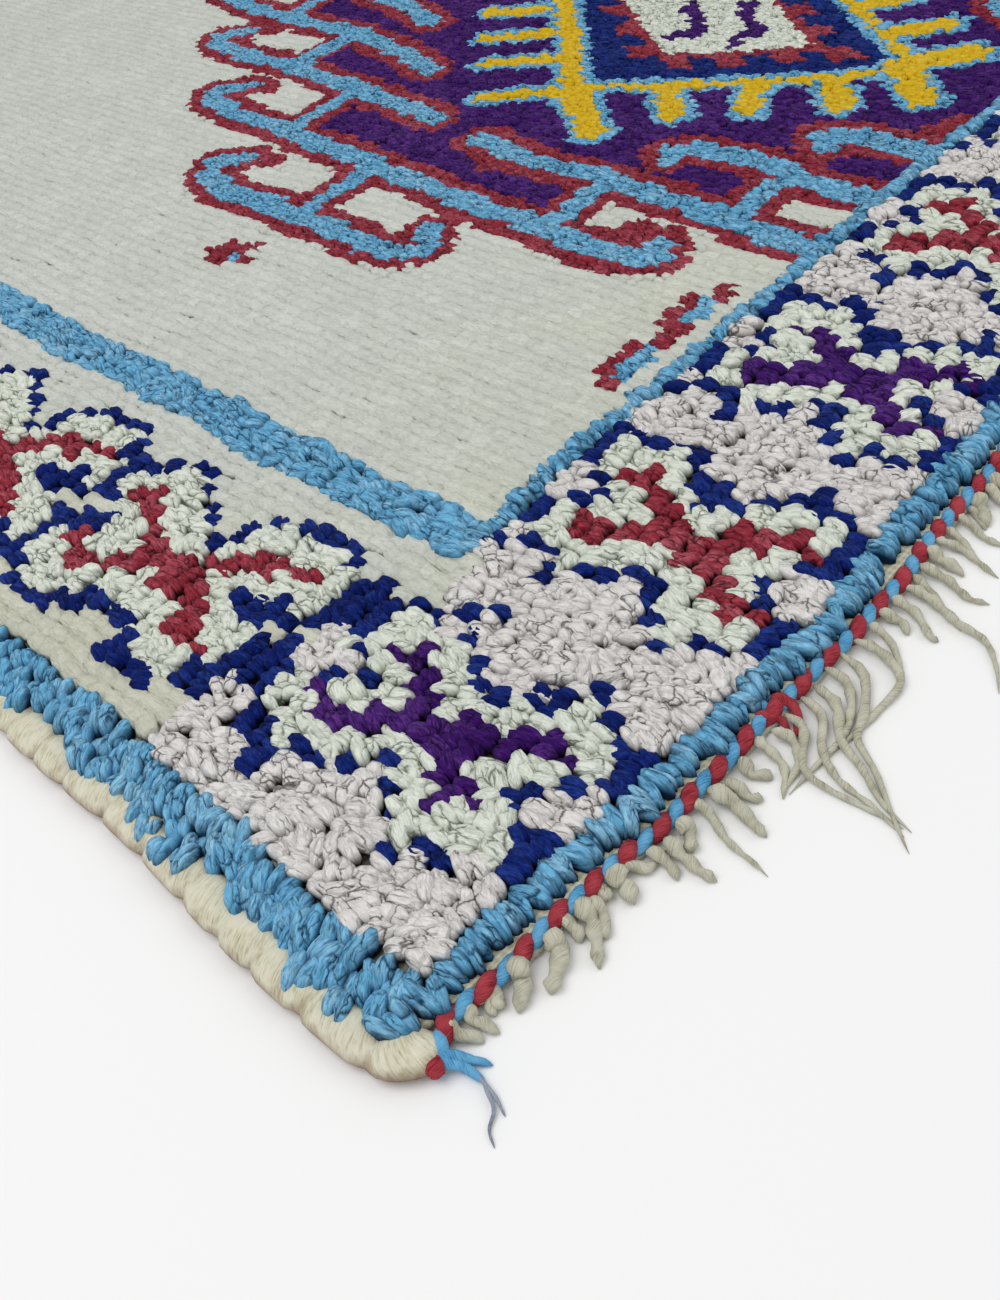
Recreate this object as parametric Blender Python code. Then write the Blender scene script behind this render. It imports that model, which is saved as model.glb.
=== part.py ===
"""A hand-knotted azilal rug lying flat: the knotted cloth with its uneven edges, a wrapped selvedge
down each long side, a twined cord and a yarn fringe across each end, and a loose tail of yarn at
the near left corner.

X runs across the rug and Y along it, with the near end at -Y. The underside is at Z = 0 and the
origin is under the middle of the whole rug. Lengths are in metres.
"""

import math

import bmesh
import bpy
import numpy as np

# Driving sizes
COLUMNS = 171  # knots across the pile
ROWS = 187  # rows of knots along it
KNOT_WIDE = 0.0078
ROW_HIGH = 0.0104
BORDER_WIDE = 0.156  # from the pile's edge to the inner line
BORDER_TOP = 0.0135  # height of the plump knots in the border
FIELD_TOP = 0.0118  # the field's knots are flatter
HIGHEST = 0.015
LUMP = 0.0010
GAP = 0.0004  # between one piece and the next

OUTER_KNOT_OVERHANG = 0.0026  # the outermost knots lean out over the selvedge
SKIRT = 0.0045  # bare weave past the last row of knots
SKIRT_TOP = 0.0038
RIM_TOP = 0.0070
CORNER_RADIUS = 0.012

SELVEDGE_WIDE = 0.0125
SELVEDGE_HIGH = 0.0095
SELVEDGE_SIDES = 8
SELVEDGE_TURN = math.radians(60)  # how far it follows the rounded corner

CORD_THICK = 0.0062
CORD_SIDES = 6

STRIP_WIDE = 0.0034
STRIP_HIGH = 0.0038
STRANDS = 104  # at each end
STRAND_WIDE = 0.0036
FRINGE_REACH = 0.0595  # the longest strand's tip from the strip

HALF_WIDE = COLUMNS * KNOT_WIDE / 2 - OUTER_KNOT_OVERHANG
HALF_LONG = ROWS * ROW_HIGH / 2 + SKIRT

# How far the near end draws in, at places measured from the left edge of the cloth
END_WAVE = (
    # across, in_by
    (0.000, 0.0095),
    (0.056, 0.0052),
    (0.121, 0.0010),
    (0.199, -0.0010),
    (0.251, -0.0010),
    (0.303, 0.0030),
    (0.368, 0.0075),
    (0.498, 0.0040),
    (0.706, -0.0020),
    (0.966, 0.0030),
    (1.328, 0.0080),
)

# The two long sides wander by two slow waves
SIDE_WAVES = (
    # amplitude, wavelength, phase
    (0.0018, 0.43, 0.6),
    (0.0010, 0.19, 2.0),
)

# Where the near fringe has long strands: the middle of each group, its half width and its length
LONG_GROUPS = (
    # across, half_wide, length
    (0.176, 0.030, 0.0590),
    (0.252, 0.016, 0.0420),
    (0.114, 0.006, 0.0330),
    (0.620, 0.022, 0.0400),
    (1.050, 0.028, 0.0460),
)

# Middle of the loose tail at the corner, from the rug's left edge and the near end of the cloth
TAIL = (
    # across, beyond, height, radius
    (0.0071, 0.0035, 0.0034, 0.0030),
    (0.0068, 0.0085, 0.0032, 0.0031),
    (0.0064, 0.0150, 0.0028, 0.0026),
    (0.0052, 0.0220, 0.0022, 0.0019),
    (0.0024, 0.0275, 0.0018, 0.0013),
    (-0.0030, 0.0320, 0.0015, 0.0011),
    (-0.0055, 0.0370, 0.0013, 0.0010),
)
TAIL_SIDES = 6


def spread_from_rim(half, rim_steps, middle_steps):
    """Places from -half to half, close together at both rims and even between them."""
    rim = np.array(rim_steps)
    middle = np.linspace(-half + rim[-1], half - rim[-1], middle_steps + 1)
    return np.concatenate([rim[:-1] - half, middle, (half - rim[:-1])[::-1]])


ACROSS = spread_from_rim(HALF_WIDE, (0.0, 0.004, 0.012), 36)
ALONG = spread_from_rim(HALF_LONG, (0.0, SKIRT, SKIRT + 0.004, 0.018), 50)


def eased_table(table, at):
    """Values of a two-column table, eased from each row to the next."""
    places, values = np.array(table).T
    row = np.clip(np.searchsorted(places, at) - 1, 0, len(places) - 2)
    share = np.clip((at - places[row]) / (places[row + 1] - places[row]), 0, 1)
    return values[row] + (values[row + 1] - values[row]) * share * share * (3 - 2 * share)


def end_wave(x, end):
    """How far an end draws in at x. The far end has the near one's wave, turned half round."""
    corners = eased_table(END_WAVE, ACROSS + HALF_WIDE)
    return np.interp(-end * x, ACROSS, corners)


def side_wave(y, side):
    """How far a long side stands out at y."""
    corners = sum(
        amplitude * np.sin(2 * math.pi * side * ALONG / wavelength + phase)
        for amplitude, wavelength, phase in SIDE_WAVES
    )
    return np.interp(y, ALONG, corners)


def laid(x, y):
    """The flat plan's points as the rug really lies, with its edges drawn in and wandering."""
    x, y = np.broadcast_arrays(np.asarray(x, float), np.asarray(y, float))
    new_x, new_y = x.copy(), y.copy()
    for side in (-1, 1):
        inside = np.maximum(HALF_WIDE - side * x, 0)
        new_x += side * side_wave(y, side) * np.exp(-inside / 0.05)
    for end in (-1, 1):
        inside = np.maximum(HALF_LONG - end * y, 0)
        new_y -= end * end_wave(x, end) * np.exp(-inside / 0.08)
    return new_x, new_y


def rounded_corner(x, y):
    """Moves the points of each square corner onto a quarter disc of CORNER_RADIUS."""
    past_x = np.clip(np.abs(x) - HALF_WIDE + CORNER_RADIUS, 0, None) / CORNER_RADIUS
    past_y = np.clip(np.abs(y) - HALF_LONG + CORNER_RADIUS, 0, None) / CORNER_RADIUS
    both = (past_x > 0) & (past_y > 0)
    shrink = np.where(both, np.maximum(past_x, past_y) / np.hypot(past_x, past_y).clip(1e-9), 1)
    pull_x = past_x * (1 - shrink) * CORNER_RADIUS
    pull_y = past_y * (1 - shrink) * CORNER_RADIUS
    return x - np.sign(x) * pull_x, y - np.sign(y) * pull_y


def material(name, colour, roughness):
    made = bpy.data.materials.new(name)
    made.use_nodes = True
    shader = made.node_tree.nodes["Principled BSDF"]
    shader.inputs["Base Color"].default_value = (*colour, 1)
    shader.inputs["Roughness"].default_value = roughness
    shader.inputs["Metallic"].default_value = 0.0
    return made


def add_object(name, points, faces, finish):
    mesh = bpy.data.meshes.new(name)
    mesh.from_pydata([tuple(map(float, point)) for point in points], [], faces)
    shell = bmesh.new()
    shell.from_mesh(mesh)
    bmesh.ops.recalc_face_normals(shell, faces=shell.faces)
    shell.to_mesh(mesh)
    shell.free()
    mesh.materials.append(finish)
    made = bpy.data.objects.new(name, mesh)
    bpy.context.scene.collection.objects.link(made)
    return made


def ring_tube(rings):
    """The points of a closed tube through rings of equal length, and its faces."""
    count, sides = len(rings), len(rings[0])
    faces = []
    for ring in range(count - 1):
        for side in range(sides):
            after = (side + 1) % sides
            start, following = ring * sides, (ring + 1) * sides
            faces.append((start + side, start + after, following + after, following + side))
    faces.append(tuple(reversed(range(sides))))
    faces.append(tuple(range((count - 1) * sides, count * sides)))
    return np.concatenate(rings), faces


def oval_rings(path_x, path_y, wide, high, sides):
    """Upright oval rings square to a path in plan. Each ring's lowest side lies at Z = 0."""
    tangent = np.gradient(np.stack([path_x, path_y], axis=1), axis=0)
    tangent /= np.linalg.norm(tangent, axis=1)[:, None]
    angle = 2 * math.pi * (np.arange(sides) + 0.5) / sides - math.pi / 2
    sideways = np.cos(angle) / np.abs(np.cos(angle)).max()
    upward = np.sin(angle) / math.cos(math.pi / sides) + 1
    rings = []
    for x, y, (along_x, along_y), width, height in zip(path_x, path_y, tangent, wide, high):
        out = sideways * width / 2
        up = upward * height / 2
        rings.append(np.stack([x + along_y * out, y - along_x * out, up], axis=1))
    return rings


def build_cloth():
    """The knotted cloth: a slab with a flat underside, rounded rims and a lumpy top."""
    x, y = np.meshgrid(ACROSS, ALONG, indexing="ij")
    from_side = HALF_WIDE - np.abs(x)
    from_end = HALF_LONG - np.abs(y)
    from_pile = np.minimum(from_side, from_end - SKIRT)
    plump = 1 / (1 + np.exp((from_pile - BORDER_WIDE) / 0.01))
    lumps = np.random.default_rng(11).uniform(-1, 1, x.shape) * LUMP * (0.5 + 0.5 * plump)
    top = FIELD_TOP + (BORDER_TOP - FIELD_TOP) * plump + lumps
    rise = np.interp(from_side, (0, 0.004, 0.012), (0, 0.75, 1))
    rise = np.minimum(rise, np.interp(from_end, (SKIRT, SKIRT + 0.004, 0.018), (0, 0.75, 1)))
    low = np.where(from_end < SKIRT + 1e-6, SKIRT_TOP, RIM_TOP)
    height = np.minimum(low + (top - low) * rise, HIGHEST)

    x, y = laid(*rounded_corner(x, y))
    wide, long = x.shape
    number = np.arange(wide * long).reshape(wide, long)
    faces = [
        (number[i, j], number[i + 1, j], number[i + 1, j + 1], number[i, j + 1])
        for i in range(wide - 1)
        for j in range(long - 1)
    ]
    rim = np.concatenate([number[:-1, 0], number[-1, :-1], number[:0:-1, -1], number[0, :0:-1]])
    under = wide * long + np.arange(len(rim))
    top_points = np.stack([x.ravel(), y.ravel(), height.ravel()], axis=1)
    under_points = top_points[rim] * (1, 1, 0)
    for here in range(len(rim)):
        there = (here + 1) % len(rim)
        faces.append((rim[here], under[here], under[there], rim[there]))
    faces.append(tuple(under[::-1]))
    faces = [tuple(int(corner) for corner in face) for face in faces]
    points = np.concatenate([top_points, under_points])
    return add_object("rug_cloth", points, faces, material("wool_pile", (0.70, 0.68, 0.56), 0.95))


def build_selvedge(side, name):
    """The wrapped roll down one long side, turning a little way round both corners."""
    middle = HALF_WIDE + GAP + SELVEDGE_WIDE / 2
    straight = ALONG[np.abs(ALONG) <= HALF_LONG - CORNER_RADIUS]
    turn = np.linspace(0, SELVEDGE_TURN, 5)[1:]
    radius = middle - HALF_WIDE + CORNER_RADIUS
    turn_x = HALF_WIDE - CORNER_RADIUS + radius * np.cos(turn)
    turn_y = HALF_LONG - CORNER_RADIUS + radius * np.sin(turn)
    x = np.concatenate([turn_x[::-1], np.full(len(straight), middle), turn_x])
    y = np.concatenate([-turn_y[::-1], straight, turn_y])
    lean = np.sin(np.arange(len(x)) * 1.7)
    wide = np.full(len(x), SELVEDGE_WIDE)
    high = SELVEDGE_HIGH * (1 + 0.06 * lean)
    rings = oval_rings(x, y, wide, high, SELVEDGE_SIDES)
    for ring in rings:
        ring[:, 0], ring[:, 1] = laid(side * ring[:, 0], ring[:, 1])
    points, faces = ring_tube(rings)
    return add_object(name, points, faces, material(name + "_wool", (0.72, 0.68, 0.55), 0.9))


def build_cord(end, name):
    """The twined red and blue cord that closes one end, beside the skirt."""
    reach = HALF_WIDE - CORNER_RADIUS + 0.004
    inner = ACROSS[np.abs(ACROSS) < reach]
    x = np.concatenate([[-reach], inner, [reach]])
    y = np.full(len(x), HALF_LONG + GAP + CORD_THICK / 2)
    thick = np.full(len(x), CORD_THICK)
    rings = oval_rings(x, y, thick, thick, CORD_SIDES)
    for ring in rings:
        ring[:, 1] = end * (ring[:, 1] - end_wave(ring[:, 0], end))
    points, faces = ring_tube(rings)
    return add_object(name, points, faces, material(name + "_yarn", (0.34, 0.12, 0.16), 0.85))


def strand_lengths(x, end, chance):
    """Short curled ends, with groups of long ones where the table puts them."""
    length = 0.013 + 0.010 * chance.uniform(0, 1, len(x))
    for across, half_wide, longest in LONG_GROUPS:
        near = 1 - np.abs(-end * x + HALF_WIDE - across) / half_wide
        length = np.where(near > 0, np.maximum(length, longest * (0.62 + 0.38 * near)), length)
    longest = np.argmax(length)
    length[longest] = FRINGE_REACH
    return length


def build_fringe(end, name):
    """One end's fringe: a narrow backing strip, and each strand drawn out of its outer wall."""
    chance = np.random.default_rng(5 if end < 0 else 6)
    reach = HALF_WIDE - CORNER_RADIUS
    inner_y = HALF_LONG + 2 * GAP + CORD_THICK
    outer_y = inner_y + STRIP_WIDE
    pitch = 2 * reach / STRANDS
    middle = -reach + pitch * (np.arange(STRANDS) + 0.5)
    length = strand_lengths(middle, end, chance)
    drift = 0.28 * np.sin(middle * 17.0 + end) + chance.uniform(-0.1, 0.1, STRANDS)
    drift *= np.minimum(length, 0.030)

    points, faces = [], []

    def put(x, y, z):
        points.append((x, end * (y - end_wave(x, end)), z))
        return len(points) - 1

    inner_x = np.concatenate([[-reach], ACROSS[np.abs(ACROSS) < reach], [reach]])
    inner_top = [put(x, inner_y, STRIP_HIGH) for x in inner_x]
    inner_low = [put(x, inner_y, 0.0) for x in inner_x]
    outer_top, outer_low = [put(-reach, outer_y, STRIP_HIGH)], [put(-reach, outer_y, 0.0)]
    for x, long, lean in zip(middle, length, drift):
        steps = 4 if long > 0.028 else 2
        root = outer_y - end_wave(x, end)
        sections = []
        for step in range(steps + 1):
            share = step / steps
            wide = STRAND_WIDE * (1 - 0.45 * share)
            high = STRIP_HIGH * (1 - 0.5 * share)
            curl = x + lean * share * (2 - share)
            if step == 0:
                left, right = x - wide / 2, x + wide / 2
                section = [
                    put(left, outer_y, STRIP_HIGH),
                    put(right, outer_y, STRIP_HIGH),
                    put(right, outer_y, 0.0),
                    put(left, outer_y, 0.0),
                ]
            else:
                y = root + long * share
                first = len(points)
                for side, z in ((-1, high), (1, high), (1, 0.0), (-1, 0.0)):
                    points.append((curl + side * wide / 2, end * y, z))
                section = list(range(first, first + 4))
            sections.append(section)
        for near, far in zip(sections, sections[1:]):
            for side in range(4):
                after = (side + 1) % 4
                faces.append((near[side], near[after], far[after], far[side]))
        faces.append(tuple(sections[-1]))
        outer_top += sections[0][:2]
        outer_low += [sections[0][3], sections[0][2]]
    outer_top.append(put(reach, outer_y, STRIP_HIGH))
    outer_low.append(put(reach, outer_y, 0.0))

    for i in range(0, len(outer_top), 2):
        faces.append((outer_top[i], outer_top[i + 1], outer_low[i + 1], outer_low[i]))
    for i in range(len(inner_x) - 1):
        faces.append((inner_top[i + 1], inner_top[i], inner_low[i], inner_low[i + 1]))
    faces.append((inner_top[0], outer_top[0], outer_low[0], inner_low[0]))
    faces.append((outer_top[-1], inner_top[-1], inner_low[-1], outer_low[-1]))
    faces.append(tuple(inner_top + outer_top[::-1]))
    faces.append(tuple(inner_low[::-1] + outer_low))
    return add_object(name, points, faces, material(name + "_yarn", (0.60, 0.57, 0.46), 0.95))


def build_tail():
    """The loose end of the cord's yarn, lying on the floor off the near left corner."""
    across, beyond, height, radius = np.array(TAIL).T
    edge = -HALF_LONG + end_wave(-HALF_WIDE, -1) - CORD_THICK - GAP
    x = -HALF_WIDE + across
    y = edge - beyond
    rings = oval_rings(x, y, 2 * radius, 2 * np.minimum(radius, height), TAIL_SIDES)
    points, faces = ring_tube(rings)
    return add_object("corner_tail", points, faces, material("tail_yarn", (0.20, 0.42, 0.62), 0.9))


def main():
    for old in list(bpy.data.objects):
        bpy.data.objects.remove(old)
    build_cloth()
    build_selvedge(-1, "selvedge_left")
    build_selvedge(1, "selvedge_right")
    build_cord(-1, "end_cord_near")
    build_cord(1, "end_cord_far")
    build_fringe(-1, "fringe_near")
    build_fringe(1, "fringe_far")
    build_tail()


main()
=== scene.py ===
import math

import bpy
import numpy as np
from mathutils import Matrix


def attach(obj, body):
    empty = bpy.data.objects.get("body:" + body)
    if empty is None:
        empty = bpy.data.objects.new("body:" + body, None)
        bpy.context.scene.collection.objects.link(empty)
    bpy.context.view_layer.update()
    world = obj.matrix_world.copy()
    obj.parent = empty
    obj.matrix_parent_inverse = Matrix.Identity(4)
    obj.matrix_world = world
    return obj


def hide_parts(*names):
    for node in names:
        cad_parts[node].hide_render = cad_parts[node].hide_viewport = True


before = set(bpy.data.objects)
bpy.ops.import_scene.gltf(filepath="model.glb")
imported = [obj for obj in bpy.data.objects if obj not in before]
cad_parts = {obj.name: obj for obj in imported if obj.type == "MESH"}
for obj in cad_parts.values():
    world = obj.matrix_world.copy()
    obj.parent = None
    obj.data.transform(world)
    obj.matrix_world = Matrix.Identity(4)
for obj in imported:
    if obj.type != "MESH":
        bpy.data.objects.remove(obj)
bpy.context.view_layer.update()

print("frame loaded:", sorted(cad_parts))

# The knot grid, in metres. Column 0 is at the left and row 0 at the near end.
plan = {
    "columns": 171,
    "rows": 187,
    "knotWide": 0.0078,
    "rowHigh": 0.0104,
    "overhang": 0.0026,  # the outermost knots stand past the cloth
    "skirt": 0.0045,  # bare weave past the first and last rows
    "lineWide": 3,  # columns in each long light blue line
    "borderWide": 18,  # columns between the two lines
    "borderRows": 13,
    "pinkCorner": (8, 17),  # columns and rows of pink ground at each corner
    "creamFrom": 18,  # column from which the end border's top row is cream again
}
halfWide = plan["columns"] * plan["knotWide"] / 2 - plan["overhang"]
halfLong = plan["rows"] * plan["rowHigh"] / 2 + plan["skirt"]
middleColumn = plan["columns"] // 2
middleRow = plan["rows"] // 2
innerLine = plan["lineWide"] + plan["borderWide"] + 1  # middle column of the inner line
innerRow = plan["borderRows"] + 1
repeat = 0.130  # one border motif and its ground; the chart's places are in repeats
columnStep = plan["knotWide"] / repeat
rowStep = plan["rowHigh"] / repeat

# How the edges wander, as in the solids
edges = {
    "endWave": (  # across from the left edge, drawn in by
        (0.000, 0.0095), (0.056, 0.0052), (0.121, 0.0010), (0.199, -0.0010), (0.251, -0.0010),
        (0.303, 0.0030), (0.368, 0.0075), (0.498, 0.0040), (0.706, -0.0020), (0.966, 0.0030),
        (1.328, 0.0080),
    ),
    "sideWaves": ((0.0018, 0.43, 0.6), (0.0010, 0.19, 2.0)),  # amplitude, wavelength, phase
    "sideFade": 0.05,
    "endFade": 0.08,
}


# Between two rows of the table the value eases as 3t^2 - 2t^3.
def easedTable(table, at):
    places, values = np.array(table).T
    row = np.clip(np.searchsorted(places, at) - 1, 0, len(places) - 2)
    share = np.clip((at - places[row]) / (places[row + 1] - places[row]), 0, 1)
    return values[row] + (values[row + 1] - values[row]) * share * share * (3 - 2 * share)


def endWave(x, end):
    return easedTable(edges["endWave"], -end * x + halfWide)


# A sum of two sines along the side.
def sideWave(y, side):
    return sum(a * np.sin(2 * math.pi * side * y / wave + phase) for a, wave, phase in edges["sideWaves"])


# Flat plan to the rug as it lies: each edge's wave, fading inwards as exp(-distance / fade).
def laid(x, y):
    x, y = np.broadcast_arrays(np.asarray(x, float), np.asarray(y, float))
    newX, newY = x.copy(), y.copy()
    for side in (-1, 1):
        inside = np.maximum(halfWide - side * x, 0)
        newX = newX + side * sideWave(y, side) * np.exp(-inside / edges["sideFade"])
    for end in (-1, 1):
        inside = np.maximum(halfLong - end * y, 0)
        newY = newY - end * endWave(x, end) * np.exp(-inside / edges["endFade"])
    return newX, newY


# Places counted in motif repeats from the crossing of the near inner lines, turned into metres.
def fromRepeats(x, y):
    return (x * repeat + (innerLine - middleColumn) * plan["knotWide"],
            y * repeat + (innerRow - middleRow) * plan["rowHigh"])


# The camera, measured in repeats from the same crossing, at the pile's height.
view = {
    "place": (-1.824, -2.605, 2.627),
    "forward": (0.409, 0.579, -0.705),
    "right": (0.683, -0.707, -0.185),
    "pileTop": 0.0135,
    "focal": 1263.4,  # pixels of the 1000 x 1300 picture
    "picture": (1000, 1300),
}
cameraPlace = np.array([*fromRepeats(view["place"][0], view["place"][1]),
                        view["place"][2] * repeat + view["pileTop"]])
forward = np.array(view["forward"]) / np.linalg.norm(view["forward"])
right = np.array(view["right"]) - np.dot(view["right"], forward) * forward
right /= np.linalg.norm(right)
down = np.cross(forward, right)


# A pinhole: how far away points are along the view, and where they fall in the picture.
def projected(points):
    seen = points - cameraPlace
    far = seen @ forward
    across = view["focal"] * (seen @ right) / far + view["picture"][0] / 2
    below = view["focal"] * (seen @ down) / far + view["picture"][1] / 2
    return far, across, below


def addCamera():
    data = bpy.data.cameras.new("camera")
    data.sensor_fit = "AUTO"
    data.sensor_width = 36
    data.lens = view["focal"] / max(view["picture"]) * data.sensor_width
    data.clip_start = 0.01
    made = bpy.data.objects.new("camera", data)
    bpy.context.scene.collection.objects.link(made)
    matrix = np.eye(4)
    matrix[:3, 0], matrix[:3, 1], matrix[:3, 2], matrix[:3, 3] = right, -down, -forward, cameraPlace
    made.matrix_world = Matrix(matrix.tolist())
    bpy.context.scene.camera = made


addCamera()

# The colours that the knots are chosen from
cream, pink, mint, lightBlue, navy, red, purple, yellow = range(8)
yarnNames = ("cream", "pink", "mint", "lightBlue", "navy", "red", "purple", "yellow")

# Each motif knot by knot, its top row first, charted: X motif, m mint, N navy, p pink, . ground
charts = {
    "end": (
        ".N.NNN...NNNN.",
        "..NmmmN.NmmmN.",
        "..NmXXmNmXmmN.",
        "NNmmXXmmmXXmmN",
        "..NmmXXmXXmmNN",
        "..NmmXXXXmNN..",
        "...NmmXXmNNN..",
        "..NNmXXXmmN...",
        ".NmmmXXXXXmN..",
        "NmmmXXmmXXmmN.",
        ".NmXXmNmmXXmNN",
        ".NmmXN..NXmmN.",
        "..NNN...NNNN..",
    ),
    "side": (
        ".NNNNN..NNNN..",
        ".NmmmNN.NmmN..",
        "NmmmXXNNmXmmN.",
        "NmmXXmmmmXXmmN",
        "NmmXXmmmXXmmmN",
        "NNmmXXmXXmmmN.",
        ".NNmmXXXmmmN..",
        "..NmmmXXmmN...",
        "..NmmXXXmN....",
        "..NmmXXXXmNN..",
        "NNmmmXXmXXmmN.",
        "NmmXXXmmmXXmmN",
        "NmmXXmmNmXXmmN",
        "NmmXmmNNmmXmmN",
        ".NNmmmNNNmXmmN",
        ".NmmmN.NmmmNN.",
    ),
    "corner": (
        "..NNNN..mmmmN..",
        "...NNNN.NNNN...",
        "...NNNpppNNNN..",
        ".NNmmmppmNNN...",
        ".NNmmXN.NmmmN..",
        "NNmmXXmNmXmmN..",
        "..NmXXmmmXXm.N.",
        "..NmmXXmXXmmN.N",
        "...NmmXXXmmN...",
        "....NmXXmmN....",
        "...NmmXXXmN....",
        "..NmmXXXXmmN...",
        ".NmmXXmmXXmNN..",
        "..NmmXmmmXXmmN.",
        "..NmmmNNmXmmN..",
        "...mmN..NmmN...",
        "...NNN...NNN...",
    ),
}
borderMotifs = {
    "endColumns": tuple(range(22, 135, 16)),
    "sideRows": (17, 33, 49, 66, 84, 101, 119, 136, 154),
    "sideColumn": 5,
}


# Writes one charted motif, with its lower left knot in this column and row.
def drawMotif(chart, name, column, row, motif):
    yarns = {"X": motif, "m": mint, "N": navy, "p": pink}
    for up, line in enumerate(reversed(charts[name])):
        for out, mark in enumerate(line):
            if mark in yarns:
                chart[row + up, column + out] = yarns[mark]


# Distance from points to a line of straight pieces through the places.
def toLine(x, y, places):
    near = np.full(np.shape(x), 9.0)
    for (ax, ay), (bx, by) in zip(places, places[1:]):
        run = (bx - ax) ** 2 + (by - ay) ** 2
        share = np.clip(((x - ax) * (bx - ax) + (y - ay) * (by - ay)) / max(run, 1e-9), 0, 1)
        near = np.minimum(near, np.hypot(x - ax - share * (bx - ax), y - ay - share * (by - ay)))
    return near


# The left half of the medallion, in repeats: upright bars that end in hooks, joined by rungs
medallion = {
    "middle": (3.74, 1.98),
    "lean": (0.17, 1.9),  # the upright axis leans by this much, evening out over this distance
    "bars": (
        ((1.53, 3.20), (1.42, 3.36), (1.31, 3.26), (1.25, 3.0), (1.24, 2.6), (1.22, 2.2), (1.19, 1.86),
         (1.22, 1.64), (1.31, 1.57), (1.43, 1.68)),
        ((2.13, 3.98), (2.02, 4.14), (1.91, 4.04), (1.86, 3.75), (1.85, 3.3), (1.80, 2.8), (1.75, 2.45),
         (1.71, 2.0), (1.69, 1.6), (1.66, 1.2), (1.62, 0.9), (1.61, 0.68), (1.66, 0.58), (1.75, 0.63)),
        ((2.72, 4.68), (2.61, 4.84), (2.50, 4.74), (2.45, 4.45), (2.42, 3.9), (2.38, 3.3), (2.32, 2.85),
         (2.25, 2.5)),
        ((2.17, 2.08), (2.13, 1.75), (2.12, 1.2), (2.07, 0.8), (2.04, 0.4), (2.01, 0.0), (2.02, -0.4)),
        ((3.27, 5.32), (3.16, 5.48), (3.06, 5.38), (3.00, 5.1), (2.95, 4.5), (2.92, 3.9), (2.82, 3.35),
         (2.70, 2.98)),
        ((2.38, 1.05), (2.45, 1.10), (2.51, 1.0), (2.50, 0.75), (2.47, 0.47), (2.44, 0.2), (2.42, -0.3)),
        ((3.90, 5.95), (3.70, 6.02), (3.55, 5.90), (3.50, 5.2), (3.46, 4.6), (3.35, 4.0), (3.20, 3.5)),
        ((2.73, 0.47), (2.81, 0.53), (2.87, 0.40), (2.86, 0.1), (2.84, -0.3)),
    ),
    "rungs": (
        ((1.24, 2.42), (1.76, 2.42)), ((1.85, 3.22), (2.38, 3.22)), ((1.66, 1.18), (2.12, 1.18)),
        ((2.42, 3.88), (2.93, 3.88)), ((2.05, 0.47), (2.47, 0.47)), ((2.98, 4.62), (3.46, 4.62)),
        ((3.50, 5.35), (4.10, 5.35)), ((2.42, -0.25), (2.86, -0.25)),
    ),
    "redKnobs": (
        ((1.56, 3.20), (1.58, 3.02)), ((1.98, 1.84), (2.06, 1.80)), ((2.16, 3.98), (2.18, 3.80)),
        ((2.75, 4.68), (2.77, 4.50)), ((1.80, 0.72), (1.82, 0.80)), ((3.04, 0.12), (3.14, 0.06)),
    ),
    # bar's x at two heights, and the heights between which all to its right is purple
    "fills": (
        ((1.66, 1.2), (1.85, 3.22), 1.18, 3.22), ((2.04, 0.4), (2.42, 3.9), 0.47, 3.88),
        ((2.42, -0.3), (2.97, 4.6), -0.30, 4.62), ((2.42, -0.3), (3.48, 5.3), -0.30, 5.35),
    ),
    "barHalf": 0.065,
    "outline": 0.138,
    "yellow": (  # half thickness, then places
        (0.075, ((2.46, 1.58), (2.74, 1.98))),
        (0.056, ((2.74, 1.98), (3.66, 2.84), (3.95, 3.12))),
        (0.050, ((2.52, 2.42), (2.62, 2.28), (2.76, 2.02))),
        (0.036, ((2.78, 2.02), (2.92, 1.76), (3.04, 1.46), (3.22, 1.06), (3.38, 0.76), (3.56, 0.50))),
        (0.060, ((2.94, 1.53), (2.74, 1.32))),
        (0.060, ((3.12, 1.16), (2.90, 1.00))),
        (0.062, ((3.30, 0.84), (3.07, 0.64))),
        (0.075, ((3.26, 0.34), (3.50, 0.60))),
        (0.050, ((3.03, 2.38), (2.86, 2.72))),
        (0.050, ((3.29, 2.66), (3.13, 3.00))),
        (0.050, ((3.56, 2.92), (3.42, 3.24))),
    ),
    "edging": 0.048,
    "heart": (0.44, 0.72, 1.84),  # half width, half height and middle height of the white diamond
    "marks": (  # as seen, not reflected
        ((3.45, 1.93), (3.54, 1.80), (3.70, 1.93), (3.86, 2.10)),
        ((3.47, 1.51), (3.58, 1.57), (3.70, 1.50)), ((3.66, 1.48), (3.78, 1.64), (3.93, 1.78)),
    ),
}


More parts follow.
